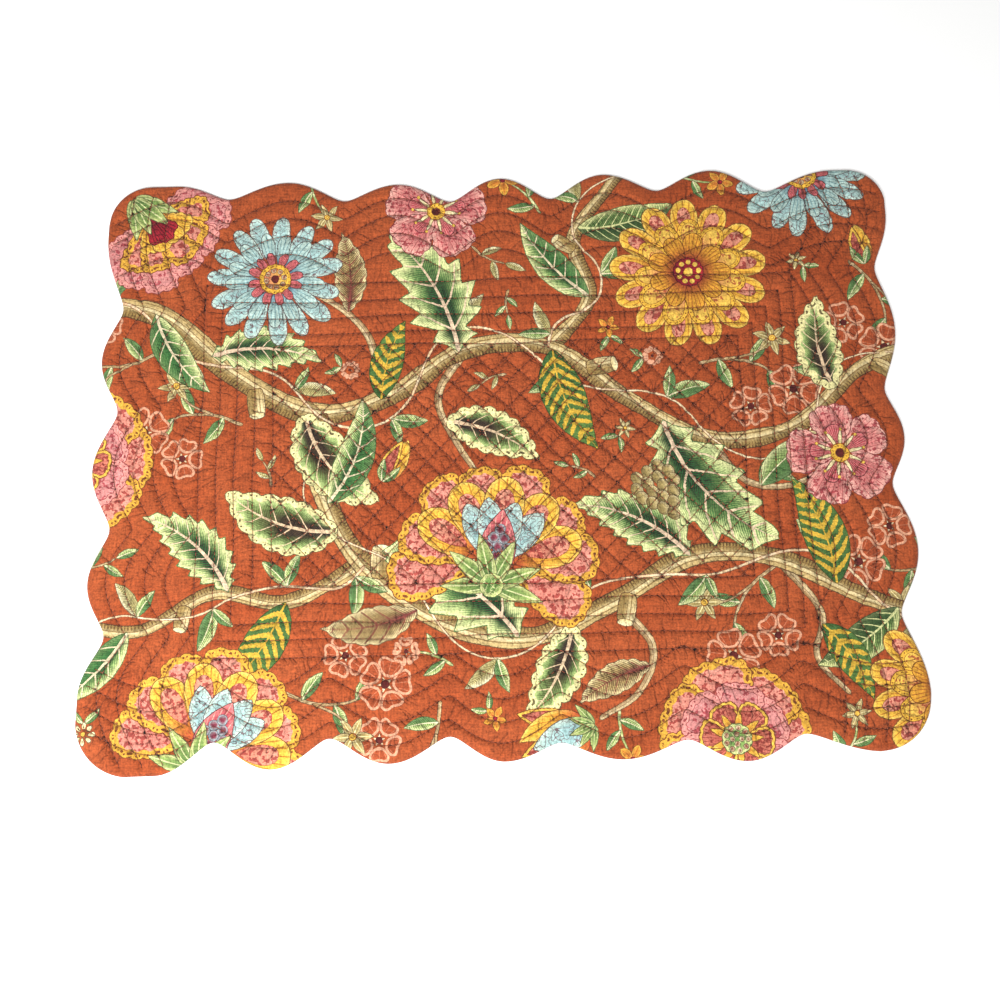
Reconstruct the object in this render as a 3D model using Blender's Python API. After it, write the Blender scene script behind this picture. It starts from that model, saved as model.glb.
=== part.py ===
"""A quilted fabric placemat with a scalloped edge, lying flat.

It is one piece: printed cotton over a thin wadding and a cotton back, turned to a knife edge and machine
quilted through. The solid has the scalloped outline, as uneven as it was cut, and the quilting is raised in
its top: rows of scallops that echo the edge, a frame of straight rows, and a diamond grid in the middle.

X runs along the long side, +Y is the back edge, and the underside lies flat on Z = 0.
All driving dimensions are in millimetres, and the mesh is made in metres.
"""

import math

import bmesh
import bpy
import numpy as np
from mathutils import Vector
from mathutils.geometry import delaunay_2d_cdt

MM = 0.001
NAME = "quilted_mat"

# The cut shape. The crests of the lobes touch four lines that join these corners, and each corner lobe is
# rounded. A reach is how far from its last notch the corner lobe is back at full height, along X and along Y.
LENGTH, BREADTH = 458.0, 338.0
CORNERS = {
    # corner: (x, y, radius, reach along x, reach along y)
    "back_left": (-LENGTH / 2 + 1.7, BREADTH / 2 + 0.5, 24.0, 31.0, 45.0),
    "back_right": (LENGTH / 2 + 1.6, BREADTH / 2, 22.0, 40.0, 35.0),
    "front_right": (LENGTH / 2 - 1.8, -BREADTH / 2 + 3.2, 29.0, 42.0, 42.0),
    "front_left": (-LENGTH / 2 - 1.6, -BREADTH / 2 - 1.7, 31.0, 31.0, 31.0),
}
# side: (first corner, last corner, direction into the mat, axis that the side runs along)
SIDES = {
    "front": ("front_left", "front_right", (0.0, 1.0), 0),
    "right": ("front_right", "back_right", (-1.0, 0.0), 1),
    "back": ("back_left", "back_right", (0.0, -1.0), 0),
    "left": ("front_left", "back_left", (1.0, 0.0), 1),
}
# side: rows of (place along the side, depth of the notch, how far the lobe after it stands out past the line)
NOTCHES = {
    "front": (
        (-155.8, 16.2, -1.3),
        (-93.9, 16.2, -2.2),
        (-29.8, 15.1, -1.3),
        (29.2, 10.0, -0.4),
        (96.6, 9.4, 2.6),
        (159.4, 10.4, 0.0),
    ),
    "right": (
        (-93.9, 11.8, 0.4),
        (-22.2, 10.3, -1.3),
        (33.0, 9.9, -0.8),
        (105.8, 9.4, 0.0),
    ),
    "back": (
        (-156.8, 9.3, 0.6),
        (-88.2, 12.2, -2.3),
        (-25.8, 14.1, -0.1),
        (33.5, 13.9, 0.8),
        (96.5, 10.4, 1.7),
        (160.4, 12.7, 0.0),
    ),
    "left": (
        (-96.7, 12.1, -1.3),
        (-37.6, 11.6, 0.2),
        (30.6, 11.9, -1.0),
        (92.2, 11.5, 0.0),
    ),
}
NOTCH_ROUNDING = 5.0
OUTLINE_STEP = 6.2

# The quilting rows
ECHO_ROWS = (
    # (distance of the crest from the edge, depth of the scallop)
    (11.5, 13.0),
    (22.5, 14.0),
    (34.0, 14.0),
    (45.5, 13.5),
)
ECHO_ROUNDING = 2.0
CORNER_FALL = 0.8  # how fast an echo row turns in again past the crest of a corner lobe
FRAME_ROWS = (
    # (left, right, front, back)
    (-168.5, 171.0, -109.8, 105.0),
    (-158.5, 162.8, -100.5, 94.0),
    (-148.5, 154.6, -91.5, 84.0),
    (-138.0, 146.2, -81.8, 74.0),
    (-127.8, 138.0, -72.0, 66.5),
)
DIAMOND_PITCH = 10.6
STRAY = 0.9  # how far the hand-guided rows wander to each side
SEAM_STEP = 10.6
SEAM_BEND = 0.3  # a seam keeps each point that lies this far off the straight line past it
SEAM_TO_RIM = 2.4
SAME_POINT = 1.0  # points of crossing seams this close are made one

# The thickness
PUFF_HEIGHT = 3.3
SEAM_HEIGHT = 1.8
PUFF_HALF_WIDTH = 4.4
RIM_HEIGHT = 2.0
RIM_MIDDLE = 1.0
RIM_ROUNDING = 1.2

# The points between the seams that carry the puffs, chosen from a fine grid
GRID_STEP = 1.5
PUFF_SPACING = 6.4
PUFF_CLEARANCE = 2.6

FABRIC_COLOUR = (0.50, 0.13, 0.04, 1.0)


def eased(distance, reach, rounding):
    """How far up its lobe a point is, from 0 in the notch, which is rounded off, to 1 at the crest."""
    run = math.hypot(distance, rounding) - rounding
    whole = math.hypot(reach, rounding) - rounding
    return run / whole


def lobe_at(side, place):
    """(distance from the nearest notch, reach to the crest, depth of that notch, rise of the lobe)."""
    first, last, _, axis = SIDES[side]
    rows = NOTCHES[side]
    if place <= rows[0][0]:
        return rows[0][0] - place, CORNERS[first][3 + axis], rows[0][1], 0.0
    if place >= rows[-1][0]:
        return place - rows[-1][0], CORNERS[last][3 + axis], rows[-1][1], 0.0
    for (start, start_depth, rise), (end, end_depth, _) in zip(rows, rows[1:]):
        if start <= place <= end:
            reach = (end - start) / 2
            if place - start <= reach:
                return place - start, reach, start_depth, rise
            return end - place, reach, end_depth, rise
    raise ValueError(place)


def edge_inset(side, place):
    """How far inside its straight line the scalloped edge lies."""
    distance, reach, depth, rise = lobe_at(side, place)
    up = min(eased(distance, reach, NOTCH_ROUNDING), 1.0)
    return depth - (depth + rise) * math.sin(math.pi / 2 * up)


def echo_inset(side, place, crest, depth):
    """How far inside the straight line an echo row lies."""
    distance, reach, _, _ = lobe_at(side, place)
    up = eased(distance, reach, ECHO_ROUNDING)
    if up > 1:
        up = 1 + (up - 1) * CORNER_FALL
    return crest + depth * (1 - math.sin(math.pi / 2 * min(up, 2.0)))


def side_point(side, place, inset):
    """The point at a place along a side, the inset being measured square into the mat."""
    first, last, inward, axis = SIDES[side]
    start, end = CORNERS[first][:2], CORNERS[last][:2]
    share = (place - start[axis]) / (end[axis] - start[axis])
    line = [a + share * (b - a) for a, b in zip(start, end)]
    return line[0] + inward[0] * inset, line[1] + inward[1] * inset


def evenly(points, step, closed=False):
    """The same line with points a step apart, or slightly less."""
    line = np.array(points)
    if closed:
        line = np.vstack([line, line[:1]])
    travelled = np.concatenate([[0], np.cumsum(np.hypot(*np.diff(line, axis=0).T))])
    count = math.ceil(travelled[-1] / step) + 1
    wanted = np.linspace(0, travelled[-1], count)
    even = np.column_stack([np.interp(wanted, travelled, line[:, i]) for i in (0, 1)])
    return even[:-1] if closed else even


def outline():
    """The scalloped edge, counter-clockwise, centred on the origin."""
    points = []
    run = (
        ("front", "front_right", -90),
        ("right", "back_right", 0),
        ("back", "back_left", 90),
        ("left", "front_left", 180),
    )
    for side, corner, turn in run:
        first, last, _, axis = SIDES[side]
        low = CORNERS[first][axis] + CORNERS[first][2]
        high = CORNERS[last][axis] - CORNERS[last][2]
        places = np.linspace(low, high, 400)
        if side in ("back", "left"):
            places = places[::-1]
        points += [side_point(side, place, edge_inset(side, place)) for place in places]
        x, y, radius = CORNERS[corner][:3]
        centre = x - math.copysign(radius, x), y - math.copysign(radius, y)
        for angle in range(turn + 5, turn + 90, 5):
            around = math.radians(angle)
            points.append(
                (centre[0] + radius * math.cos(around), centre[1] + radius * math.sin(around))
            )
    even = evenly(points, OUTLINE_STEP, closed=True)
    return even - (even.min(axis=0) + even.max(axis=0)) / 2


def inset_loop(loop, distance):
    """The same loop moved into the mat by a distance."""
    along = np.roll(loop, -1, axis=0) - np.roll(loop, 1, axis=0)
    along /= np.hypot(*along.T)[:, None]
    return loop + distance * np.column_stack([-along[:, 1], along[:, 0]])


def inside(points, loop):
    """True for each point inside the closed loop."""
    x, y = points[:, 0, None], points[:, 1, None]
    ax, ay = loop.T
    bx, by = np.roll(loop, -1, axis=0).T
    spans = (ay > y) != (by > y)
    rise = np.where(by == ay, 1.0, by - ay)
    crossing = ax + (y - ay) * (bx - ax) / rise
    return (spans & (x < crossing)).sum(axis=1) % 2 == 1


def distance_to(points, starts, ends):
    """The distance from each point to the nearest of the segments."""
    nearest = np.full(len(points), np.inf)
    for start, end in zip(starts, ends):
        run = end - start
        share = np.clip((points - start) @ run / max(run @ run, 1e-9), 0, 1)
        apart = points - start - share[:, None] * run
        nearest = np.minimum(nearest, np.hypot(*apart.T))
    return nearest


def strayed(points):
    """The same points, moved as far as hand-guided rows stray. Where two rows cross they move together."""
    x, y = np.array(points).T
    across = np.sin(x / 21 + y / 12) + np.sin(y / 31 - x / 17 + 2)
    along = np.sin(y / 19 + x / 14 + 1) + np.sin(x / 29 - y / 11 + 4)
    return np.column_stack([x + STRAY * across / 2, y + STRAY * along / 2])


def echo_rows():
    """The scalloped rows of all four sides, each the whole length of its side, so they cross in the corners."""
    rows = []
    for side, (first, last, _, axis) in SIDES.items():
        places = np.arange(CORNERS[first][axis], CORNERS[last][axis], 1.0)
        for crest, depth in ECHO_ROWS:
            row = [side_point(side, at, echo_inset(side, at, crest, depth)) for at in places]
            rows.append(strayed(row))
    return rows


def frame_rows():
    """The straight rows, four to each rectangle, ending at its corners."""
    rows = []
    for left, right, front, back in FRAME_ROWS:
        for y in (front, back):
            rows.append(strayed([(x, y) for x in np.linspace(left, right, 200)]))
        for x in (left, right):
            rows.append(strayed([(x, y) for y in np.linspace(front, back, 200)]))
    return rows


def diamond_rows():
    """The slanting rows of the middle field, from edge to edge of the innermost rectangle."""
    left, right, front, back = FRAME_ROWS[-1]
    apart = DIAMOND_PITCH * math.sqrt(2)
    middle_x, middle_y = (left + right) / 2, (front + back) / 2
    half_x, half_y = (right - left) / 2, (back - front) / 2
    reach = int((half_x + half_y) / apart)
    rows = []
    for number in range(-reach, reach + 1):
        for slope in (1, -1):
            # The row is x = offset + slope * y. It has a point where it crosses each row of the other slope
            offset = number * apart
            ends = sorted((slope * (-half_x - offset), slope * (half_x - offset)))
            low, high = max(ends[0], -half_y), min(ends[1], half_y)
            steps = range(math.ceil(2 * low / apart), math.floor(2 * high / apart) + 1)
            heights = sorted({low, high, *(step * apart / 2 for step in steps)})
            if high - low > apart / 3:
                row = [(middle_x + offset + slope * y, middle_y + y) for y in heights]
                rows.append(strayed(row))
    return rows


def thinned(row):
    """The row with only the points that its bends need, and none further apart than the seam step."""
    kept = [0]
    for at in range(2, len(row)):
        start = row[kept[-1]]
        run = row[at] - start
        length = math.hypot(*run)
        passed = row[kept[-1] + 1 : at] - start
        off = np.abs(passed[:, 0] * run[1] - passed[:, 1] * run[0]) / max(length, 1e-9)
        if length > SEAM_STEP or off.max() > SEAM_BEND:
            kept.append(at - 1)
    if math.dist(row[kept[-1]], row[-1]) < SEAM_STEP / 3 and len(kept) > 1:
        kept.pop()
    return row[kept + [len(row) - 1]]


def seams(edge):
    """All the quilting rows inside the edge, as lines of a few points each."""
    starts, ends = edge, np.roll(edge, -1, axis=0)
    found = [thinned(row) for row in frame_rows()] + diamond_rows()
    for row in echo_rows():
        good = inside(row, edge) & (distance_to(row, starts, ends) > SEAM_TO_RIM)
        breaks = np.flatnonzero(np.diff(np.concatenate([[0], good, [0]])))
        for begin, stop in zip(breaks[::2], breaks[1::2]):
            if stop - begin > SEAM_TO_RIM:
                found.append(thinned(row[begin:stop]))
    return found


def puff_points(edge, starts, ends):
    """Points on the crests between the seams: those furthest from any seam first, spaced evenly."""
    low, high = edge.min(axis=0), edge.max(axis=0)
    grid_x, grid_y = np.meshgrid(
        np.arange(low[0], high[0], GRID_STEP), np.arange(low[1], high[1], GRID_STEP)
    )
    points = np.column_stack([grid_x.ravel(), grid_y.ravel()])
    points = points[inside(points, edge)]
    to_rim = distance_to(points, edge, np.roll(edge, -1, axis=0))
    clear = np.minimum(to_rim, distance_to(points, starts, ends))
    chosen = {}
    for at in np.argsort(-clear, kind="stable"):
        if clear[at] < PUFF_CLEARANCE:
            break
        x, y = points[at]
        column, row = int(x // PUFF_SPACING), int(y // PUFF_SPACING)
        near = (chosen.get((column + i, row + j)) for i in (-1, 0, 1) for j in (-1, 0, 1))
        if all(math.dist((x, y), p) >= PUFF_SPACING for p in near if p):
            chosen[column, row] = x, y
    return list(chosen.values())


def top_heights(points, starts, ends, on_rim):
    """The height of the top at each point: low in the seams, full between them, thin at the rim."""
    share = np.clip(distance_to(points, starts, ends) / PUFF_HALF_WIDTH, 0, 1)
    heights = SEAM_HEIGHT + (PUFF_HEIGHT - SEAM_HEIGHT) * np.sin(np.pi / 2 * share)
    heights[on_rim] = RIM_HEIGHT
    return heights


def quilted_mesh():
    """The mat's closed mesh: the quilted top, a rounded rim of two rings, and the flat underside."""
    edge = outline()
    rim = inset_loop(edge, RIM_ROUNDING)
    rows = seams(rim)
    starts = np.vstack([row[:-1] for row in rows])
    ends = np.vstack([row[1:] for row in rows])

    # The seams and the rim are edges that the triangles of the top have to keep
    points = [Vector(point) for point in rim]
    rim_face = list(range(len(rim)))
    kept_edges = []
    for row in rows:
        first = len(points)
        points += [Vector(point) for point in row]
        kept_edges += [(at, at + 1) for at in range(first, len(points) - 1)]
    points += [Vector(point) for point in puff_points(rim, starts, ends)]
    inside_constraints = 1
    flat, edges, faces, origins, edge_origins, _ = delaunay_2d_cdt(
        points, kept_edges, [rim_face], inside_constraints, SAME_POINT
    )
    flat = np.array(flat)
    place_of = {source: at for at, sources in enumerate(origins) for source in sources}
    on_rim = [place_of[at] for at in rim_face]
    heights = top_heights(flat, starts, ends, on_rim)

    mesh = bmesh.new()
    top = [mesh.verts.new((x * MM, y * MM, z * MM)) for (x, y), z in zip(flat, heights)]
    for face in faces:
        mesh.faces.new([top[at] for at in face])
    for (start, end), sources in zip(edges, edge_origins):
        if sources:
            # A stitched seam is a crease
            mesh.edges.get((top[start], top[end])).smooth = False
    ring = [top[at] for at in on_rim]
    for loop, height in ((edge, RIM_MIDDLE), (rim, 0.0)):
        lower = [mesh.verts.new((x * MM, y * MM, height * MM)) for x, y in loop]
        for at in range(len(ring)):
            after = (at + 1) % len(ring)
            mesh.faces.new((ring[at], lower[at], lower[after], ring[after]))
        ring = lower
    mesh.faces.new(ring[::-1])
    bmesh.ops.recalc_face_normals(mesh, faces=mesh.faces)
    for face in mesh.faces:
        face.smooth = True
    return mesh


def fabric():
    """Printed cotton, seen here as its plain ground colour."""
    material = bpy.data.materials.new("printed_cotton")
    material.use_nodes = True
    shader = material.node_tree.nodes["Principled BSDF"]
    shader.inputs["Base Color"].default_value = FABRIC_COLOUR
    shader.inputs["Roughness"].default_value = 0.9
    shader.inputs["Metallic"].default_value = 0.0
    return material


def main():
    for obj in list(bpy.data.objects):
        bpy.data.objects.remove(obj)
    collection = bpy.data.collections.new("placemat")
    bpy.context.scene.collection.children.link(collection)
    data = bpy.data.meshes.new(NAME)
    mesh = quilted_mesh()
    mesh.to_mesh(data)
    mesh.free()
    data.materials.append(fabric())
    collection.objects.link(bpy.data.objects.new(NAME, data))


main()
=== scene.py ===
"""The looks of a quilted fabric placemat: printed cotton, machine quilted with a rust thread, lying flat.

The mat is one closed cloth piece. Its fine mesh keeps every quilting row as an edge, so the channels puff up
between the rows. The print is a floral one: shapes with an outline and an axis are laid over each other, each
face of the mesh keeps the top few of them, and the material draws them from there, edge, veins and all.

Sizes are in millimetres and turned to metres where a mesh is made.
"""

import math
import random

import bpy
import numpy as np
from mathutils import Matrix, Vector
from mathutils.geometry import delaunay_2d_cdt


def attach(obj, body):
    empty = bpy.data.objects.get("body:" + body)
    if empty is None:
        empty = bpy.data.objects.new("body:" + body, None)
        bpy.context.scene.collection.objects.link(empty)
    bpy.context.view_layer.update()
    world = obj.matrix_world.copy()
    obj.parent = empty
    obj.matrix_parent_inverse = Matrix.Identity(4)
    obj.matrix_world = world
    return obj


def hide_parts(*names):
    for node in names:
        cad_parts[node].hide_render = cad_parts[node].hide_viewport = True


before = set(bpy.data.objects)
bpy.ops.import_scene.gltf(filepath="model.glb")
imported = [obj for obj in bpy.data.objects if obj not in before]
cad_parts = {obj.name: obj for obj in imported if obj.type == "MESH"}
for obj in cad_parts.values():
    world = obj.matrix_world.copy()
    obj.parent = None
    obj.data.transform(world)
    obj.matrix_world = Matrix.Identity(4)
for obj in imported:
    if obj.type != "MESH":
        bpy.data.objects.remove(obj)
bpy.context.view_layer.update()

MM = 0.001

# ---- The cut shape and the quilting rows, as in the part ----

LENGTH, BREADTH = 458.0, 338.0
CORNERS = {
    # corner: (x, y, radius, reach along x, reach along y)
    "back_left": (-LENGTH / 2 + 1.7, BREADTH / 2 + 0.5, 24.0, 31.0, 45.0),
    "back_right": (LENGTH / 2 + 1.6, BREADTH / 2, 22.0, 40.0, 35.0),
    "front_right": (LENGTH / 2 - 1.8, -BREADTH / 2 + 3.2, 29.0, 42.0, 42.0),
    "front_left": (-LENGTH / 2 - 1.6, -BREADTH / 2 - 1.7, 31.0, 31.0, 31.0),
}
SIDES = {
    # side: (first corner, last corner, direction into the mat, axis that the side runs along)
    "front": ("front_left", "front_right", (0.0, 1.0), 0),
    "right": ("front_right", "back_right", (-1.0, 0.0), 1),
    "back": ("back_left", "back_right", (0.0, -1.0), 0),
    "left": ("front_left", "back_left", (1.0, 0.0), 1),
}
# side: rows of (place along the side, depth of the notch, how far the lobe after it stands out past the line)
NOTCHES = {
    "front": ((-155.8, 16.2, -1.3), (-93.9, 16.2, -2.2), (-29.8, 15.1, -1.3), (29.2, 10.0, -0.4),
              (96.6, 9.4, 2.6), (159.4, 10.4, 0.0)),
    "right": ((-93.9, 11.8, 0.4), (-22.2, 10.3, -1.3), (33.0, 9.9, -0.8), (105.8, 9.4, 0.0)),
    "back": ((-156.8, 9.3, 0.6), (-88.2, 12.2, -2.3), (-25.8, 14.1, -0.1), (33.5, 13.9, 0.8),
             (96.5, 10.4, 1.7), (160.4, 12.7, 0.0)),
    "left": ((-96.7, 12.1, -1.3), (-37.6, 11.6, 0.2), (30.6, 11.9, -1.0), (92.2, 11.5, 0.0)),
}
NOTCH_ROUNDING = 5.0
ECHO_ROWS = ((11.5, 13.0), (22.5, 14.0), (34.0, 14.0), (45.5, 13.5))  # (crest's distance in, scallop's depth)
ECHO_ROUNDING = 2.0
CORNER_FALL = 0.8  # past a corner's crest a row falls away so much slower
FRAME_ROWS = (
    # (left, right, front, back)
    (-168.5, 171.0, -109.8, 105.0),
    (-158.5, 162.8, -100.5, 94.0),
    (-148.5, 154.6, -91.5, 84.0),
    (-138.0, 146.2, -81.8, 74.0),
    (-127.8, 138.0, -72.0, 66.5),
)
DIAMOND_PITCH = 10.6
STRAY = 0.9  # how far a row that is guided by hand strays at most
SEAM_TO_RIM = 2.4  # a row stops so far from the rim
SHORTEST_ROW = 3  # points a millimetre apart

# The heights: of a puff's top, of a seam on top, of the knife edge, and of a seam underneath
PUFF_HEIGHT, SEAM_HEIGHT, RIM_MIDDLE, UNDER_SEAM = 3.3, 1.95, 1.0, 0.5
PUFF_HALF_WIDTH = 4.4
PUFF_STEEPNESS = 4.4  # the power that a puff rises with
PUFF_UNEVENNESS = 0.12
RIM_REACH = 5.0  # how far in the cloth has rounded up from its knife edge
RIM_RINGS = (0.35, 1.2)  # rings of points so far inside the edge

# The mesh
STEP = 1.62
UNDER_STEP = 3.7
SEAM_CLEARANCE = 0.45  # of a step: no lattice point lies closer to a seam


def eased(distance, reach, rounding):
    """How far up its lobe a point is, from 0 in the notch, which is rounded off, to 1 at the crest."""
    run = math.hypot(distance, rounding) - rounding
    whole = math.hypot(reach, rounding) - rounding
    return run / whole


def lobe_at(side, place):
    """(distance from the nearest notch, reach to the crest, depth of that notch, rise of the lobe)."""
    first, last, _, axis = SIDES[side]
    rows = NOTCHES[side]
    if place <= rows[0][0]:
        return rows[0][0] - place, CORNERS[first][3 + axis], rows[0][1], 0.0
    if place >= rows[-1][0]:
        return place - rows[-1][0], CORNERS[last][3 + axis], rows[-1][1], 0.0
    for (start, start_depth, rise), (end, end_depth, _) in zip(rows, rows[1:]):
        if start <= place <= end:
            reach = (end - start) / 2
            if place - start <= reach:
                return place - start, reach, start_depth, rise
            return end - place, reach, end_depth, rise
    raise ValueError(place)


def edge_inset(side, place):
    """How far inside its straight line the scalloped edge lies."""
    distance, reach, depth, rise = lobe_at(side, place)
    up = min(eased(distance, reach, NOTCH_ROUNDING), 1.0)
    return depth - (depth + rise) * math.sin(math.pi / 2 * up)


def echo_inset(side, place, crest, depth):
    """How far inside the straight line an echo row lies."""
    distance, reach, _, _ = lobe_at(side, place)
    up = eased(distance, reach, ECHO_ROUNDING)
    if up > 1:
        up = 1 + (up - 1) * CORNER_FALL
    return crest + depth * (1 - math.sin(math.pi / 2 * min(up, 2.0)))


def side_point(side, place, inset):
    """The point at a place along a side, the inset being measured square into the mat."""
    first, last, inward, axis = SIDES[side]
    start, end = CORNERS[first][:2], CORNERS[last][:2]
    share = (place - start[axis]) / (end[axis] - start[axis])
    line = [a + share * (b - a) for a, b in zip(start, end)]
    return line[0] + inward[0] * inset, line[1] + inward[1] * inset


def at_angle(centre, angle, distance):
    """The point at a distance from a centre, at an angle in degrees."""
    turn = math.radians(angle)
    return centre[0] + distance * math.cos(turn), centre[1] + distance * math.sin(turn)


def evenly(points, step, closed=False):
    """The same line with points a step apart, or slightly less."""
    line = np.array(points, float)
    if closed:
        line = np.vstack([line, line[:1]])
    travelled = np.concatenate([[0], np.cumsum(np.hypot(*np.diff(line, axis=0).T))])
    count = max(math.ceil(travelled[-1] / step), 1) + 1
    wanted = np.linspace(0, travelled[-1], count)
    even = np.column_stack([np.interp(wanted, travelled, line[:, i]) for i in (0, 1)])
    return even[:-1] if closed else even


def cut_edge(step):
    """The scalloped edge, counter-clockwise, centred on the origin."""
    points = []
    for side, corner, turn in (
        # side, the corner that ends it, and where in degrees that corner's arc starts
        ("front", "front_right", -90),
        ("right", "back_right", 0),
        ("back", "back_left", 90),
        ("left", "front_left", 180),
    ):
        first, last, _, axis = SIDES[side]
        low = CORNERS[first][axis] + CORNERS[first][2]
        high = CORNERS[last][axis] - CORNERS[last][2]
        places = np.linspace(low, high, 400)
        if side in ("back", "left"):
            places = places[::-1]
        points += [side_point(side, place, edge_inset(side, place)) for place in places]
        x, y, radius = CORNERS[corner][:3]
        centre = x - math.copysign(radius, x), y - math.copysign(radius, y)
        points += [at_angle(centre, angle, radius) for angle in range(turn + 5, turn + 90, 5)]
    even = evenly(points, step, closed=True)
    return even - (even.min(axis=0) + even.max(axis=0)) / 2


def strayed(points):
    """The same points, moved as far as hand-guided rows stray. Where two rows cross they move together."""
    x, y = np.array(points).T
    across = np.sin(x / 21 + y / 12) + np.sin(y / 31 - x / 17 + 2)
    along = np.sin(y / 19 + x / 14 + 1) + np.sin(x / 29 - y / 11 + 4)
    return np.column_stack([x + STRAY * across / 2, y + STRAY * along / 2])


def echo_rows(edge):
    """The scalloped rows of all four sides, each as far as it stays inside the edge."""
    rows = []
    for side, (first, last, _, axis) in SIDES.items():
        places = np.arange(CORNERS[first][axis], CORNERS[last][axis], 1.0)  # a millimetre apart
        for crest, depth in ECHO_ROWS:
            row = strayed([side_point(side, at, echo_inset(side, at, crest, depth)) for at in places])
            good = inside(row, edge) & (place_on(row, edge, closed=True)[0] > SEAM_TO_RIM)
            breaks = np.flatnonzero(np.diff(np.concatenate([[0], good, [0]])))
            rows += [row[a:b] for a, b in zip(breaks[::2], breaks[1::2]) if b - a >= SHORTEST_ROW]
    return rows


def frame_rows():
    """The straight rows, four to each rectangle, ending at its corners."""
    rows = []
    for left, right, front, back in FRAME_ROWS:
        for y in (front, back):
            rows.append(strayed([(x, y) for x in np.linspace(left, right, 200)]))
        for x in (left, right):
            rows.append(strayed([(x, y) for y in np.linspace(front, back, 200)]))
    return rows


def diamond_rows():
    """The slanting rows of the middle field, from edge to edge of the innermost rectangle."""
    left, right, front, back = FRAME_ROWS[-1]
    apart = DIAMOND_PITCH * math.sqrt(2)
    middle_x, middle_y = (left + right) / 2, (front + back) / 2
    half_x, half_y = (right - left) / 2, (back - front) / 2
    reach = int((half_x + half_y) / apart)
    rows = []
    for number in range(-reach, reach + 1):
        for slope in (1, -1):
            offset = number * apart
            ends = sorted((slope * (-half_x - offset), slope * (half_x - offset)))
            low, high = max(ends[0], -half_y), min(ends[1], half_y)
            if high - low > apart / 3:
                # The row is x = offset + slope * y
                heights = np.linspace(low, high, max(int(high - low), 2))
                rows.append(strayed([(middle_x + offset + slope * y, middle_y + y) for y in heights]))
    return rows


# ---- Measuring on the flat ----


def place_on(points, line, closed=False):
    """For each point: its distance from the line, how far along the line it is, and how far to its left."""
    starts = line if closed else line[:-1]
    ends = np.roll(line, -1, axis=0) if closed else line[1:]
    run = ends - starts
    length = np.maximum(np.hypot(*run.T), 1e-9)
    travelled = np.concatenate([[0], np.cumsum(length)[:-1]])
    apart_x = points[:, :1] - starts[:, 0]
    apart_y = points[:, 1:] - starts[:, 1]
    share = np.clip((apart_x * run[:, 0] + apart_y * run[:, 1]) / length**2, 0, 1)
    off = np.hypot(apart_x - share * run[:, 0], apart_y - share * run[:, 1])
    nearest = off.argmin(axis=1)
    at = np.arange(len(points)), nearest
    left = (run[nearest, 0] * apart_y[at] - run[nearest, 1] * apart_x[at]) / length[nearest]
    return off[at], travelled[nearest] + share[at] * length[nearest], left


def inside(points, loop):
    """True for each point inside the closed loop."""
    x, y = points[:, 0, None], points[:, 1, None]
    ax, ay = loop.T
    bx, by = np.roll(loop, -1, axis=0).T
    spans = (ay > y) != (by > y)
    rise = np.where(by == ay, 1.0, by - ay)
    return (spans & (x < ax + (y - ay) * (bx - ax) / rise)).sum(axis=1) % 2 == 1


class Spots:
    """Points sorted by x, so that those near a line are soon found."""

    def __init__(self, points):
        self.points = points
        self.order = np.argsort(points[:, 0])
        self.x = points[self.order, 0]

    def near(self, line, reach):
        """The numbers of the points that lie within reach of the line's box."""
        low, high = line.min(axis=0) - reach, line.max(axis=0) + reach
        first, last = np.searchsorted(self.x, (low[0], high[0]))
        found = self.order[first:last]
        y = self.points[found, 1]
        return found[(y > low[1]) & (y < high[1])]


def left_of(runs):
    """Unit vectors that stand square to the left of each run."""
    runs = runs / np.maximum(np.hypot(*runs.T), 1e-9)[:, None]
    return np.column_stack([-runs[:, 1], runs[:, 0]])


def inset_loop(loop, distance):
    """The same loop moved into the mat by a distance."""
    return loop + distance * left_of(np.roll(loop, -1, axis=0) - np.roll(loop, 1, axis=0))


def lattice(loop, step):
    """An even lattice of points inside the loop."""
    ax, ay = loop.T
    bx, by = np.roll(loop, -1, axis=0).T
    points = []
    for number, y in enumerate(np.arange(ay.min(), ay.max(), step * math.sqrt(0.75))):
        spans = (ay > y) != (by > y)
        crossings = np.sort(ax[spans] + (y - ay[spans]) * (bx[spans] - ax[spans]) / (by - ay)[spans])
        for start, end in zip(crossings[::2], crossings[1::2]):
            first = math.ceil(start / step - number % 2 / 2)
            x = (np.arange(first, first + (end - start) / step) + number % 2 / 2) * step
            points.append(np.column_stack([x, np.full(len(x), y)])[x < end])
    return np.vstack(points)


def to_rows(points, rows, reach):
    """For each point: how far the nearest row is, up to the reach."""
    off, spots = np.full(len(points), reach), Spots(points)
    for row in rows:
        near = spots.near(row, reach)
        if len(near):
            off[near] = np.minimum(off[near], place_on(points[near], row)[0])
    return off


def in_lengths(loop, count=24):
    """The loop as overlapping lengths, which are quicker to measure to."""
    closed = np.vstack([loop, loop[:1]])
    return [closed[at : at + count + 1] for at in range(0, len(loop), count)]


# ---- The quilted cloth's mesh ----

# The puckers: creases that set out from a row of stitches, all leaning much the same way for a stretch
PUCKER_APART = (1.4, 5.0)
PUCKER_LENGTH = (3.0, 14.0)
PUCKER_DEPTH = (0.2, 1.0)
PUCKER_LEAN, PUCKER_WANDER = 38.0, 16.0  # degrees to either side of square, and from one to the next
PUCKER_HALF_WIDTH = 1.3
PUCKER_DROP = 0.4
PUCKER_BOX, PUCKER_DRAWN = 1.5, 2.2  # how far from a crease's box, and from the crease, a face draws it
# The half width of the painted shade in the groove along a row of stitches
GROOVE_SHADE_HALF_WIDTH = 0.5  # of the dark groove along a row of stitches


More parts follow.
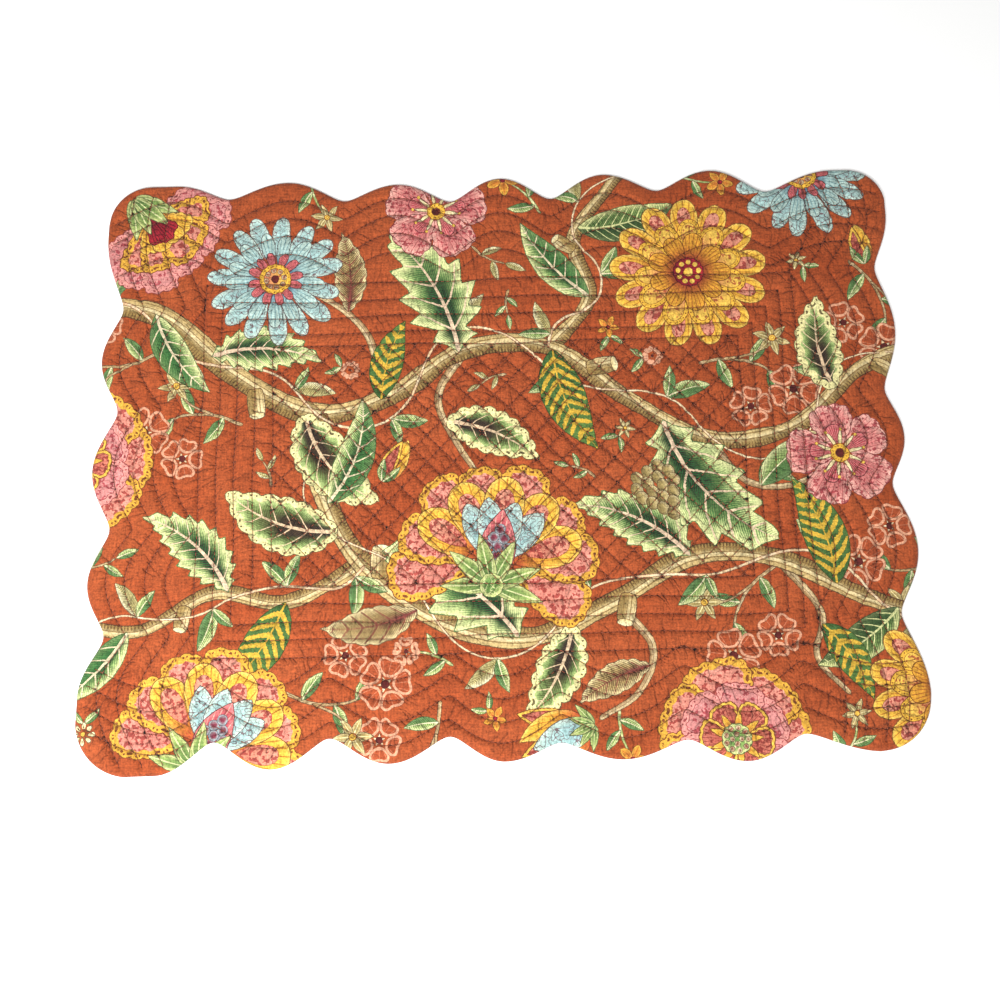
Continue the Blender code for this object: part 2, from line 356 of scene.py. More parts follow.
def puckers_of(rows):
    """The creases of all rows: (start, end, depth from 0 to 1)."""
    draw = random.Random(11)
    creases = []
    for row in rows:
        line = evenly(row, 0.5)  # two points to a millimetre
        lean, at = draw.uniform(-PUCKER_LEAN, PUCKER_LEAN), draw.uniform(*PUCKER_APART)
        while at < len(line) / 2 - 2:
            start = line[int(at * 2)]
            run = line[int(at * 2) + 2] - start
            lean = max(-PUCKER_LEAN, min(PUCKER_LEAN, lean + draw.uniform(-PUCKER_WANDER, PUCKER_WANDER)))
            heading = math.degrees(math.atan2(run[1], run[0])) + draw.choice((-90, 90)) + lean
            depth = draw.uniform(*PUCKER_DEPTH)
            length = draw.uniform(*PUCKER_LENGTH) * (0.5 + depth / 2)
            end = np.array(at_angle(start, heading, length))
            creases.append((start, end, depth))
            at += draw.uniform(*PUCKER_APART)
    return creases


def pucker_fade(along, length):
    """A crease keeps most of its depth for half its length, then runs out."""
    return 1 - np.clip(along / length, 0, 1) ** 2


def pucker_depth(points, creases):
    """How far the creases draw the cloth down at each point, from 0 to 1."""
    drop, spots = np.zeros(len(points)), Spots(points)
    for start, end, depth in creases:
        line = np.array([start, end])
        near = spots.near(line, 2 * PUCKER_HALF_WIDTH)
        off, along, _ = place_on(points[near], line)
        fade = pucker_fade(along, np.hypot(*(end - start)))
        drop[near] = np.maximum(drop[near], depth * fade * np.exp(-((off / PUCKER_HALF_WIDTH) ** 2)))
    return drop


def pucker_chart(points, faces, total, creases):
    """For each corner of each face: the way off the face's nearest crease, and its depth there."""
    chart = np.zeros((total, 3, 3), np.float32)
    middle = points[faces].mean(axis=1)
    nearest, spots = np.full(len(faces), PUCKER_DRAWN), Spots(middle)
    for start, end, depth in creases:
        line = np.array([start, end])
        near = spots.near(line, PUCKER_BOX)
        off = place_on(middle[near], line)[0]
        closer = off < nearest[near]
        near = near[closer]
        nearest[near] = off[closer]
        length = np.hypot(*(end - start))
        run = (end - start) / length
        apart = points[faces[near]] - start
        chart[near, :, 0] = apart @ np.array([-run[1], run[0]])
        chart[near, :, 1] = depth * pucker_fade(apart @ run, length)
    return chart


def undulation(points):
    """A slow rise and fall of the wadding, from -1 to 1."""
    x, y = points.T
    return (np.sin(x / 19 + np.sin(y / 23)) + np.sin(y / 17 + 2 * np.sin(x / 31)) + np.sin((x + y) / 11)) / 3


def rim_share(to_rim):
    """How far the cloth has rounded up from its knife edge, from 0 to 1."""
    return np.sqrt(1 - (1 - np.clip(to_rim / RIM_REACH, 0, 1)) ** 2)


def puff_share(to_seam):
    """How far the cloth has puffed up from a row of stitches: steeply at first, then nearly level."""
    return 1 - (1 - np.clip(to_seam / PUFF_HALF_WIDTH, 0, 1)) ** PUFF_STEEPNESS


def top_height(points, to_seam, to_rim, pucker):
    """The height of the top side."""
    puff = (PUFF_HEIGHT - SEAM_HEIGHT) * puff_share(to_seam) * (1 + PUFF_UNEVENNESS * undulation(points))
    drop = PUCKER_DROP * pucker * np.clip(to_seam, 0.3, 1)
    return RIM_MIDDLE + (SEAM_HEIGHT + puff - drop - RIM_MIDDLE) * rim_share(to_rim)


def under_height(to_seam, to_rim):
    """The height of the underside, which lies on its puffs."""
    return RIM_MIDDLE - (RIM_MIDDLE - UNDER_SEAM * (1 - puff_share(to_seam))) * rim_share(to_rim)


def triangulated(loop, rows, step):
    """(points, faces, places of the loop's points) of a flat mesh with the loop and the rows as edges."""
    rows = [evenly(row, step) for row in rows]
    grid = lattice(loop, step)
    clear = np.minimum(to_rows(grid, rows, step), to_rows(grid, in_lengths(loop), step))
    points = [Vector(point) for point in loop]
    kept_edges = []
    for row in rows:
        first = len(points)
        points += [Vector(point) for point in row]
        kept_edges += [(at, at + 1) for at in range(first, len(points) - 1)]
    points += [Vector(point) for point in grid[clear > SEAM_CLEARANCE * step]]
    same_point, inside_constraints = 0.15 * step, 1
    flat, _, faces, origins, _, _ = delaunay_2d_cdt(
        points, kept_edges, [list(range(len(loop)))], inside_constraints, same_point
    )
    place_of = {source: at for at, sources in enumerate(origins) for source in sources}
    return np.array(flat), np.array(faces), [place_of[at] for at in range(len(loop))]


def strip(outer, inner):
    """Two triangles for each step between two rings, facing up if outer runs round inner."""
    outer_next, inner_next = np.roll(outer, -1), np.roll(inner, -1)
    halves = [outer, outer_next, inner_next], [outer, inner_next, inner]
    return np.vstack([np.column_stack(half) for half in halves])


def quilted_cloth(edge):
    """The cloth's flat points and heights, its printed and plain faces, and what else is measured on it."""
    rim = inset_loop(edge, RIM_RINGS[-1])
    rows = echo_rows(rim) + frame_rows() + diamond_rows()
    edge_lengths = in_lengths(edge)

    top, top_faces, top_rim = triangulated(rim, rows, STEP)
    to_seam = to_rows(top, rows, PUFF_HALF_WIDTH)
    creases = puckers_of(rows)
    top_z = top_height(top, to_seam, to_rows(top, edge_lengths, RIM_REACH), pucker_depth(top, creases))

    under, under_faces, under_rim = triangulated(rim, rows, UNDER_STEP)
    under_seam = to_rows(under, rows, PUFF_HALF_WIDTH)
    under_z = under_height(under_seam, to_rows(under, edge_lengths, RIM_REACH))

    # Between top and underside: a ring bent up, the knife edge, and a ring bent down
    count = len(edge)
    high, middle, low = (len(top) + count * number + np.arange(count) for number in range(3))
    first_under = len(top) + 3 * count
    printed = np.vstack([top_faces, strip(high, np.array(top_rim)), strip(middle, high)])
    rounded_under = strip(low, middle), strip(first_under + np.array(under_rim), low)
    plain = np.vstack([*rounded_under, first_under + under_faces[:, ::-1]])

    bend = inset_loop(edge, RIM_RINGS[0])
    over = RIM_MIDDLE + (SEAM_HEIGHT - RIM_MIDDLE) * rim_share(RIM_RINGS[0])
    level = [np.full(count, z) for z in (over, RIM_MIDDLE, 2 * RIM_MIDDLE - over)]
    flat = np.vstack([top, bend, edge, bend, under])
    height = np.concatenate([top_z, *level, under_z])
    # The underside's mesh is too coarse for the painted shade in the groove beside its stitches to be drawn
    # on it
    seam = np.concatenate([to_seam, np.full(3 * count, PUFF_HALF_WIDTH), under_seam + GROOVE_SHADE_HALF_WIDTH])
    return flat, height, printed, plain, seam, creases, rows, edge_lengths


# ---- The print: its colours and how each kind of shape is drawn ----


def linear(colour):
    """An sRGB hex value turned to linear."""
    parts = (int(colour[at : at + 2], 16) / 255 for at in (1, 3, 5))
    return tuple(c / 12.92 if c <= 0.04045 else ((c + 0.055) / 1.055) ** 2.4 for c in parts)


PLAIN_LOOK = {
    # The body's colour, from the base to the tip
    "base": "#E8A33A",
    "tip": "#F3C23C",
    # Other colours along the edge, down the middle, around the base and on the side away from the light,
    # and how far each reaches, from 0 to 1
    "edge": None,
    "edge_share": 0.5,
    "core": None,
    "core_share": 0.5,
    "core_length": 0.6,
    "heart": None,
    "heart_share": 0.4,
    "far_side": None,
    # The colours of the drawing
    "ink": "#571E1B",
    "tint": "#B4452F",
    "rim": "#F0BC36",
    # Millimetres: outline, rim band, how far apart the dots along it are, and the line inside it
    "line": 0.5,
    "rim_width": 0.0,
    "dots": 0.0,
    "rim_line": 0.16,
    # Hatching: how deep it goes, its pitch, its weight at the edge, half way and at that depth, whether it
    # leans with the veins or stands square to the edge, and whether it is on the far side alone
    "hatch": 0.0,
    "hatch_pitch": 1.3,
    "hatch_weights": (0.34, 0.17, 0.0),
    "hatch_leans": False,
    "hatch_one_side": False,
    # Side veins a pitch apart that lean by the slant, rays from the base, and a midrib
    "veins": 0.0,
    "slant": 0.9,
    "rays": 0.0,
    "ray_start": None,
    "vein_share": 0.3,
    "midrib": 0.0,
    # How much of the body is mottled or covered by thin scrolls, from 0 to 1
    "mottle": 0.0,
    "scroll": 0.0,
}
LEANING = dict(hatch_leans=True, hatch_weights=(0.0, 0.26, 0.34))
STREAKS = dict(ray_start=1000.0, vein_share=0.24)
LOOKS = {
    "bark": dict(base="#C3A66C", tip="#CDB37A", core="#EAD6A2", core_length=9.0, far_side="#94773F",
        ink="#52331F", tint="#8A6C3E", line=0.6, hatch=5.0, hatch_pitch=1.8, hatch_one_side=True,
        rays=430.0, **STREAKS),
    "stub": dict(base="#BA9C60", tip="#EAD8A6", far_side="#94773F", ink="#52331F", tint="#8A6C3E",
        rays=500.0, **STREAKS),
    "twig": dict(base="#C4A470", tip="#D8BC8A", core="#EEDAAE", core_length=9.0, far_side="#967248",
        ink="#54301F", tint="#8C6A42", line=0.4, rays=600.0, **STREAKS),
    "green_twig": dict(base="#96A25E", tip="#AEB670", core="#E2DEA8", core_length=9.0, ink="#47502A",
        line=0.32),
    "tendril": dict(base="#DDB488", tip="#EACFA2", core="#F4E0B8", core_length=9.0, ink="#6B3222",
        line=0.35),
    "leaf": dict(base="#76A04E", tip="#B2CC7A", edge="#EDEAA8", edge_share=0.6, far_side="#3E7038",
        core="#2F2A22", core_share=0.45, core_length=0.85, ink="#2C5E30", tint="#EBD6B0", line=0.45,
        hatch=6.0, veins=9.0, vein_share=0.1, midrib=0.8, **LEANING),
    "broad_leaf": dict(base="#7CA352", tip="#AECB78", edge="#EDEBA8", edge_share=0.55, core="#2E1C20",
        core_share=0.7, core_length=0.85, ink="#27602F", tint="#E8C9A8", line=0.5, hatch=14.0,
        hatch_pitch=1.6, veins=13.0, vein_share=0.1, midrib=1.1, **LEANING),
    "dotted_leaf": dict(base="#76A04E", tip="#A4C270", edge="#DFE3A0", core="#2C2024", core_share=0.7,
        core_length=0.85, ink="#4A3A20", tint="#E6C7A0", rim="#ECE2A0", rim_width=3.6, dots=4.6,
        rim_line=0.0, line=0.45, hatch=9.0, veins=9.0, vein_share=0.09, midrib=1.0, **LEANING),
    "dark_leaf": dict(base="#55743A", tip="#9AB062", edge="#E3E09A", edge_share=0.4, far_side="#38502C",
        ink="#2E4626", tint="#DDDD9A", line=0.45, hatch=6.0, veins=5.0, vein_share=0.14, midrib=0.6,
        **LEANING),
    "banded_leaf": dict(base="#3F6232", tip="#5E7E3C", ink="#36441F", tint="#DDB03C", line=0.45, veins=6.4,
        slant=0.8, vein_share=0.5, midrib=0.5),
    "khaki_leaf": dict(base="#A88F54", tip="#CDB678", edge="#E6D39E", core="#6E2432", core_share=0.45,
        ink="#5A3A24", tint="#7E3E36", hatch=4.0, veins=6.0, vein_share=0.12, midrib=0.5, line=0.45,
        **LEANING),
    "small_leaf": dict(base="#94B660", tip="#CDDA8C", edge="#F0ECB0", edge_share=0.6, far_side="#3E753E",
        ink="#40552C", tint="#EBDDB4", line=0.42, hatch=3.0, hatch_pitch=1.1, midrib=0.35, **LEANING),
    "pale_leaf": dict(base="#CFC584", tip="#EDE2AC", edge="#F6ECC6", far_side="#B3A868", ink="#5E4A2A",
        tint="#948648", line=0.42, hatch=3.0, hatch_pitch=1.1, midrib=0.3, **LEANING),
    "gold": dict(base="#D58F2E", tip="#EFBE46", edge="#F5D06A", edge_share=0.3, heart="#B4502C",
        heart_share=0.5, ink="#6A3216", tint="#B87426", rays=11.0, vein_share=0.18),
    "deep_gold": dict(base="#BF7824", tip="#DFA238", heart="#963A26", heart_share=0.6, ink="#642E14",
        tint="#9A5420", rays=9.0, vein_share=0.24),
    "gold_lace": dict(base="#DDA03A", tip="#EEC456", heart="#CC7E5C", heart_share=0.75, ink="#74361A",
        tint="#A24430", rim="#E8B440", rim_width=2.6, dots=3.4, mottle=0.4, line=0.45),
    "coral": dict(base="#C66E60", tip="#E39682", edge="#F0AC98", ink="#6A281C", tint="#9A3630",
        rim="#E0A83E", rim_width=4.2, dots=3.4, mottle=0.46, rim_line=0.0),
    "coral_patch": dict(base="#C87058", tip="#E29A80", ink="#843622", tint="#963430", mottle=0.47,
        line=0.25),
    "coral_inner": dict(base="#A84034", tip="#D47E68", ink="#5E2018", tint="#86302A", rim="#E8B84C",
        rim_width=1.8, mottle=0.44, rays=9.0, vein_share=0.18),
    "pink": dict(base="#B44E52", tip="#DE9288", edge="#EFB4A4", ink="#702028", tint="#9A343C", mottle=0.42,
        line=0.45, rays=10.0, vein_share=0.12),
    "pink_lace": dict(base="#C06C68", tip="#DE9690", ink="#80282E", tint="#A23A42", rim="#E0948A",
        rim_width=3.2, dots=4.2, mottle=0.44, line=0.45),
    "rose": dict(base="#861E2E", tip="#BC4A54", edge="#D87C7A", ink="#481018", tint="#E6A696", rays=13.0,
        vein_share=0.22, line=0.45),
    "crimson": dict(base="#741226", tip="#B02832", ink="#3E0C16", tint="#5A0F1E", rays=12.0, vein_share=0.3,
        line=0.45),
    "sky": dict(base="#8CB2B4", tip="#AECCC4", edge="#CBDCCC", ink="#4A2E32", tint="#6E4A50", scroll=0.03,
        line=0.45),
    "pale_blue": dict(base="#92B6B6", tip="#B8CEC2", heart="#5E7E92", heart_share=0.4, ink="#45383E",
        tint="#5E8890", rays=9.0, vein_share=0.2, line=0.45),
    "cream": dict(base="#DFC584", tip="#F4EABC", ink="#5C3A26", tint="#B89A5A", line=0.42),
    "blossom": dict(base="#A24A28", tip="#A84E2A", ink="#8A4630", tint="#C87A58", rim="#DDA07E",
        rim_width=1.5, rim_line=0.0, line=0.25, rays=2.5, ray_start=1.5, vein_share=0.1),
    "star": dict(base="#86743E", tip="#BEA566", edge="#E0CB98", ink="#4E3A24", tint="#EAD8A0", line=0.4,
        midrib=0.4),
    "small_gold": dict(base="#B8542A", tip="#E4A63A", edge="#EFBE50", ink="#6A3018", tint="#A8481E",
        line=0.4, rays=5.0, vein_share=0.2),
    "seed": dict(base="#5A1620", tip="#A03A30", edge="#F1E2B0", edge_share=0.6, ink="#3A1016", line=0.3),
    "scale": dict(base="#5E2438", tip="#8E3A48", edge="#ACC8C8", edge_share=0.5, ink="#3A3348", line=0.3),
    "eye": dict(base="#4A1A18", tip="#6A2420", ink="#3A1210", line=0.25),
    "gold_dot": dict(base="#E4B03A", tip="#F0CC66", ink="#7A3A1A", line=0.28),
    "green_core": dict(base="#4E7A3E", tip="#93B25E", edge="#DDE092", ink="#33502A", tint="#F2E8AE",
        scroll=0.024, line=0.42),
    "calyx": dict(base="#4E703C", tip="#98B05C", edge="#D4D48C", ink="#38492A", tint="#DDDDA0", rays=6.0,
        vein_share=0.2, line=0.42),
    "berry": dict(base="#B0985A", tip="#DCC68C", edge="#EEDDAC", far_side="#8C7842", ink="#5E4828",
        hatch=2.4, hatch_pitch=0.9, line=0.42),
}

# ---- The print: its shapes, laid from the lowest to the topmost ----

shapes = []  # (outline, axis, look, whether its ends are round)
hand = random.Random(4)  # the unevenness of a drawing by hand
SPINE_STEPS, SIDE_STEPS = 10, 34  # along the middle of a leaf or petal, and along each of its sides
STEM_STEP, STEM_SIDE_STEP = 2.5, 2.0
TOOTH_POWER, LOBE_POWER = 1.4, 0.6
TOOTH_REACH = 0.62  # of the way to the axis, at most


def spine(base, heading, length, bend):
    """A line from the base that sets off at the heading, in degrees, and turns by the bend on its way."""
    turns = np.radians(heading + bend * (np.arange(SPINE_STEPS) + 0.5) / SPINE_STEPS)
    hops = np.column_stack([np.cos(turns), np.sin(turns)]) * (length / SPINE_STEPS)
    return np.array(base, float) + np.vstack([[0, 0], np.cumsum(hops, axis=0)])


def sides_of(axis, half_widths, step):
    """The outline of a shape that is as wide as that along its axis, from the base round by the tip."""
    off = left_of(np.gradient(axis, axis=0)) * half_widths[:, None]
    return evenly(np.vstack([axis - off, (axis + off)[::-1]]), step, closed=True)


def ruffled(outline, axis, lobes, depth, toothed):
    """The outline drawn in between round lobes, or between teeth that point to the tip."""
    share = np.arange(len(outline)) / len(outline)
    beat = share * lobes % 1
    if toothed:
        out = np.where(share < 0.5, beat, 1 - beat) ** TOOTH_POWER
        depth = np.minimum(depth, TOOTH_REACH * place_on(outline, axis)[0])
    else:
        out = np.abs(np.sin(np.pi * beat)) ** LOBE_POWER
    return inset_loop(outline, (depth * (1 - out))[:, None])


def blade(base, heading, length, width, look, low=0.8, high=0.8, bend=0.0, lobes=0, depth=0.0,
          toothed=False, rounded=False, **changes):
    """A leaf, petal or disc. Its width grows with the power low from the base, and with high from the tip."""
    axis = spine(base, heading, length, bend)
    share = (1 - np.cos(np.linspace(0, np.pi, SIDE_STEPS))) / 2
    at = share * SPINE_STEPS
    line = np.column_stack([np.interp(at, range(SPINE_STEPS + 1), axis[:, i]) for i in (0, 1)])
    half = share**low * (1 - share) ** high
    outline = sides_of(line, half * (width / 2 / half.max()), max(0.5, min(length, width) / 14))
    if lobes:
        step = max((length + width) / lobes / 8, 0.4)
        outline = ruffled(evenly(outline, step, closed=True), axis, lobes, depth, toothed)
    shapes.append((outline, axis, PLAIN_LOOK | LOOKS[look] | changes, rounded))


def curve_through(points, step):
    """A smooth line through the points."""
    points = np.array(points, float)
    padded = np.vstack([2 * points[0] - points[1], points, 2 * points[-1] - points[-2]])
    line = []
    for a, b, c, d in zip(padded, padded[1:], padded[2:], padded[3:]):
        t = np.linspace(0, 1, 16, endpoint=False)[:, None]
        bent = (2 * a - 5 * b + 4 * c - d) * t**2 + (3 * b - a - 3 * c + d) * t**3
        line.append((2 * b + (c - a) * t + bent) / 2)
    return evenly(np.vstack([*line, points[-1:]]), step)


def stem(points, start_width, end_width, look, knots=0.0):
    """A branch or twig through the points, thicker at its knots."""
    axis = curve_through(points, STEM_STEP)
    run = np.arange(len(axis)) * STEM_STEP
    half = np.linspace(start_width, end_width, len(axis)) / 2
    half *= 1 + knots * np.sin(run / 9 + 3 * np.sin(run / 37)) * np.sin(run / 23 + 1)
    shapes.append((sides_of(axis, half, STEM_SIDE_STEP), axis, PLAIN_LOOK | LOOKS[look], False))
    return axis


def on_stem(axis, share):
    """(place, heading in degrees) at a share of the way along a stem."""
    at = min(int(share * (len(axis) - 1)), len(axis) - 2)
    run = axis[at + 1] - axis[at]
    return axis[at], math.degrees(math.atan2(run[1], run[0]))


LEAF_KINDS = {
    # kind: (width to length, low, high, teeth or lobes on a side, their depth, toothed, look)
    "acanthus": (0.56, 0.6, 0.75, 6, 9.0, True, "broad_leaf"),
    "broad": (0.46, 0.7, 0.95, 9, 4.0, True, "broad_leaf"),
    "dotted": (0.46, 0.7, 0.95, 8, 2.2, False, "dotted_leaf"),
    "long": (0.32, 0.8, 1.1, 0, 0.0, False, "leaf"),
    "dark": (0.36, 0.8, 1.0, 0, 0.0, False, "dark_leaf"),
    "banded": (0.38, 0.8, 1.1, 0, 0.0, False, "banded_leaf"),
    "khaki": (0.38, 0.9, 1.1, 7, 1.2, False, "khaki_leaf"),
    "small": (0.38, 0.8, 1.0, 0, 0.0, False, "small_leaf"),
    "pale": (0.36, 0.8, 1.0, 0, 0.0, False, "pale_leaf"),
}


def leaf(base, heading, length, kind, bend=0.0):
    """A leaf drawn from its base. Where it has teeth, each has its vein."""
    widen, low, high, teeth, depth, toothed, look = LEAF_KINDS[kind]
    changes = dict(veins=length / teeth) if teeth else {}
    width = length * widen
    blade(base, heading, length, width, look, low, high, bend, 2 * teeth, depth, toothed, **changes)


# The parts of a flower. Each is told the flower's place, turn and radius, and has its lengths in radii


def petal(place, turn, radius, length, width, look, by=0.0, low=0.8, high=0.8, bend=0.0, start=0.0, **shape):
    """One petal, or anything else that has a base and a tip."""
    base = at_angle(place, turn + by, start * radius)
    blade(base, turn + by, length * radius, width * radius, look, low, high, bend, **shape)


def disc(place, turn, radius, size, look, lobes=0, depth=0.0):
    """A round part, which is drawn the same way up whatever the flower's turn."""
    half = size * radius
    base = place[0] - half, place[1]
    blade(base, 0, 2 * half, 2 * half, look, 0.5, 0.5, lobes=lobes, depth=depth, rounded=True)


def ring(place, turn, radius, count, start, length, width, look, by=0.0, spread=360.0, uneven=0.05, **shape):
    """Petals around a place, from a start distance outwards. A fan is laid from its sides inwards."""
    middle = turn + by
    apart = spread / (count if spread == 360.0 else max(count - 1, 1))
    headings = [middle + apart * number for number in range(count)]
    if spread < 360.0:
        headings = sorted((heading - spread / 2 for heading in headings), key=lambda h: -abs(h - middle))
    for heading in headings:
        heading += hand.uniform(-60, 60) * uneven
        size = 1 + hand.uniform(-1, 1) * uneven
        base = at_angle(place, heading, start * radius)
        blade(base, heading, length * radius * size, width * radius * size, look, **shape)


def dots(place, turn, radius, count, distance, size, look, by=0.0):
    """A ring of small discs."""
    for number in range(count):
        spot = at_angle(place, turn + by + 360 * number / count, distance * radius)
        disc(spot, turn, radius, size, look)


def cone(place, turn, radius, counts, across, along, part, *values, **shape):
    """Rows of the same part, each row further along than the last."""
    for row, count in enumerate(counts):
        for number in range(count):
            side = (number - (count - 1) / 2) * radius * across
            spot = at_angle(at_angle(place, turn, row * radius * along), turn + 90, side)
            part(spot, turn, radius, *values, **shape)


def leaf_pair(place, turn, radius, length, spread):
    """Two small leaves to either side of the turn."""
    for side in (-1, 1):
        size = length * radius * hand.uniform(0.85, 1.1)
        leaf(place, turn + side * spread / 2, size, "small", -side * 25)


WIDE = dict(low=0.8, high=0.36, rounded=True)
NARROW = dict(low=0.9, high=0.5, rounded=True)
POINTED = dict(low=0.55, high=1.0)
FRINGED = dict(low=1.0, high=0.25, rounded=True)
EVEN = dict(uneven=0.0)
FLOWERS = {
    # flower: its parts from the lowest up, as (part, what the part takes), with how far behind it starts
    # Rings of rounded gold petals about a rust middle
    "marigold": (
        (ring, 13, 0.25, 0.75, 0.36, "gold", EVEN | NARROW),
        (ring, 13, 0.5, 0.38, 0.17, "coral_patch", EVEN | NARROW),
        (ring, 11, 0.16, 0.56, 0.31, "gold_lace", 12, NARROW),
        (ring, 9, 0.1, 0.42, 0.25, "deep_gold", 30, NARROW),
        (disc, 0.2, "crimson", 14, 1.0),
        (dots, 9, 0.13, 0.036, "gold_dot"),
        (disc, 0.06, "gold_dot"),
    ),
    # Broad coral petals with dotted gold rims, closing in on a green middle
    "peony": (
        (ring, 7, 0.12, 0.88, 0.9, "coral", dict(WIDE, lobes=16, depth=1.6)),
        (ring, 6, 0.1, 0.62, 0.66, "pink_lace", 25, dict(WIDE, lobes=14, depth=1.2)),
        (ring, 6, 0.06, 0.42, 0.4, "coral_inner", 52, dict(WIDE, lobes=12, depth=0.8)),
        (ring, 9, 0.1, 0.26, 0.1, "gold", dict(low=0.5, high=0.9)),
        (disc, 0.2, "green_core", 12, 0.9),
        (dots, 9, 0.14, 0.036, "seed"),
        (dots, 4, 0.06, 0.036, "seed"),
    ),
    # Two rings of narrow blue petals about a gold and crimson middle
    "aster": (
        (ring, 15, 0.25, 0.75, 0.27, "sky", NARROW),
        (ring, 13, 0.18, 0.56, 0.21, "pale_blue", 10, NARROW),
        (ring, 12, 0.14, 0.28, 0.13, "rose", NARROW),
        (disc, 0.24, "gold_lace", 14, 0.8),
        (dots, 8, 0.13, 0.04, "seed"),
        (disc, 0.06, "eye"),
    ),
    # A tall fan: coral outside, then gold, then blue, about a scaly heart
    "palmette": (
        (ring, 8, 0.2, 0.8, 0.52, "coral", 0, 215, dict(WIDE, lobes=14, depth=1.5)),
        (ring, 5, 0.1, 0.76, 0.4, "gold", 0, 130, EVEN | NARROW),
        (ring, 5, 0.3, 0.44, 0.2, "coral_patch", 0, 130, EVEN | NARROW),
        (ring, 4, 0.05, 0.6, 0.27, "sky", 0, 70, dict(low=0.8, high=0.7)),
        (petal, 0.66, 0.36, "rose", 0, 0.55, 0.9, dict(behind=0.12)),
        (cone, (2, 3, 3, 2, 1), 0.1, 0.085, disc, 0.055, "scale"),
        (ring, 6, 0.0, 0.5, 0.17, "calyx", 0, 200, dict(POINTED, behind=0.2)),
        (disc, 0.12, "green_core", 9, 0.6, dict(behind=0.2)),
    ),
    # Five heart-shaped petals
    "wild_rose": (
        (ring, 5, 0.08, 0.92, 0.88, "pink", dict(WIDE, lobes=10, depth=1.3)),
        (ring, 5, 0.08, 0.5, 0.3, "rose", WIDE),
        (ring, 10, 0.12, 0.34, 0.08, "cream", 18, dict(low=0.4, high=0.6)),
        (dots, 10, 0.46, 0.035, "gold_dot", 18),
        (disc, 0.19, "gold_lace", 9, 0.6),
        (disc, 0.08, "eye"),
    ),
    # A fringed fan of petals over a green calyx, seen from the side, opening to the turn
    "carnation": (
        (ring, 7, 0.0, 1.0, 0.46, "pink_lace", 0, 150, dict(FRINGED, lobes=18, depth=1.8)),
        (ring, 5, 0.0, 0.78, 0.4, "coral", 0, 110, dict(FRINGED, lobes=16, depth=1.4)),
        (ring, 4, 0.0, 0.54, 0.28, "gold", 0, 70, dict(FRINGED, lobes=12, depth=1.1)),
        (ring, 3, 0.0, 0.42, 0.2, "crimson", 0, 40, dict(FRINGED, lobes=10, depth=0.9)),
        (ring, 4, 0.0, 0.58, 0.2, "calyx", 0, 66, dict(POINTED, behind=0.3)),
    ),
    # Cupped petals, opening to the turn
    "tulip": (
        (ring, 3, 0.0, 1.75, 0.6, "coral_inner", 0, 56, dict(low=0.7, high=0.9)),
        (petal, 1.8, 0.74, "gold", -36, 0.6, 0.95, 55),
        (petal, 1.8, 0.74, "gold", 36, 0.6, 0.95, -55),
        (petal, 1.45, 0.8, "sky", 0, 0.55, 0.85),
        (ring, 5, 0.0, 0.7, 0.24, "calyx", 0, 130, dict(POINTED, behind=0.15)),
    ),
    # A small flower of many petals
    "daisy": (
        (ring, 11, 0.2, 0.8, 0.36, "rose", WIDE),
        (disc, 0.36, "gold_lace", 9, 0.5),
        (disc, 0.17, "eye"),
    ),
    # A small open flower, most of it the colour of the ground
    "blossom": (
        (ring, 5, 0.1, 0.9, 0.92, "blossom", dict(WIDE, lobes=2, depth=2.4)),
        (ring, 5, 0.0, 0.3, 0.14, "tendril", 36, dict(low=0.5, high=0.8)),
        (disc, 0.16, "eye", 7, 0.5),
    ),
    # Six pointed petals
    "star_flower": (
        (ring, 6, 0.0, 1.0, 0.44, "star", dict(low=0.7, high=1.0)),
        (disc, 0.2, "coral_inner"),
        (disc, 0.09, "gold_dot"),
    ),
    # Five small pointed gold petals
    "gold_flower": (
        (ring, 5, 0.0, 1.0, 0.6, "small_gold", dict(low=0.8, high=0.7)),
        (disc, 0.18, "crimson"),
    ),
    # A tiny pale flower with a dark mark in each petal
    "cream_daisy": (
        (ring, 8, 0.22, 0.78, 0.4, "cream", WIDE),
        (ring, 8, 0.42, 0.34, 0.11, "eye", dict(EVEN, low=0.6, high=0.6)),
        (disc, 0.24, "coral_inner"),
    ),
    # Two gold petals, still closed
    "bud": (
        (petal, 2.0, 0.95, "gold", -10, 0.55, 0.8, 15),
        (petal, 1.9, 0.7, "coral_inner", 12, 0.55, 0.9, -20),
        (leaf_pair, 1.1, 70),
    ),
    # A cone of pale berries
    "berries": (
        (cone, (3, 4, 4, 3, 2, 1), 0.46, 0.36, petal, 0.56, 0.46, "berry",
         dict(low=0.5, high=0.5, start=-0.25, rounded=True)),
    ),
}


def flower(kind, x, y, turn, radius):
    """A flower about its centre, turned by an angle in degrees, and as big as its radius says."""
    for part, *values in FLOWERS[kind]:
        options = dict(values.pop()) if isinstance(values[-1], dict) else {}
        place = at_angle((x, y), turn + 180, options.pop("behind", 0.0) * radius)
        part(place, turn, radius, *values, **options)


# Sprigs, which fill what room is left. Each starts at its centre's near side and heads through it


def spray(x, y, turn, radius):
    """A curved twig with open flowers and small leaves."""
    bend = hand.choice((-70, 70))
    side = math.copysign(1, bend)
    line = spine(at_angle((x, y), turn + 180, radius * 0.9), turn - bend / 2, radius * 1.9, bend)
    stem(line[::3], 2.4, 1.5, "twig")
    for at, angle in ((2, 60), (5, -65), (7, 60)):
        leaf(line[at], turn + side * angle, radius * 0.62, "small", -side * 20)
    fork = at_angle(line[4], turn - side * 50, radius * 0.75)
    stem([line[3], at_angle(line[4], turn - side * 40, radius * 0.35), fork], 1.9, 1.3, "twig")
    flower("blossom", *line[-1], turn, radius * 0.5)
    flower("star_flower", *fork, turn, radius * 0.36)
    flower("blossom", *at_angle(line[5], turn + side * 75, radius * 0.85), turn + 30, radius * 0.42)


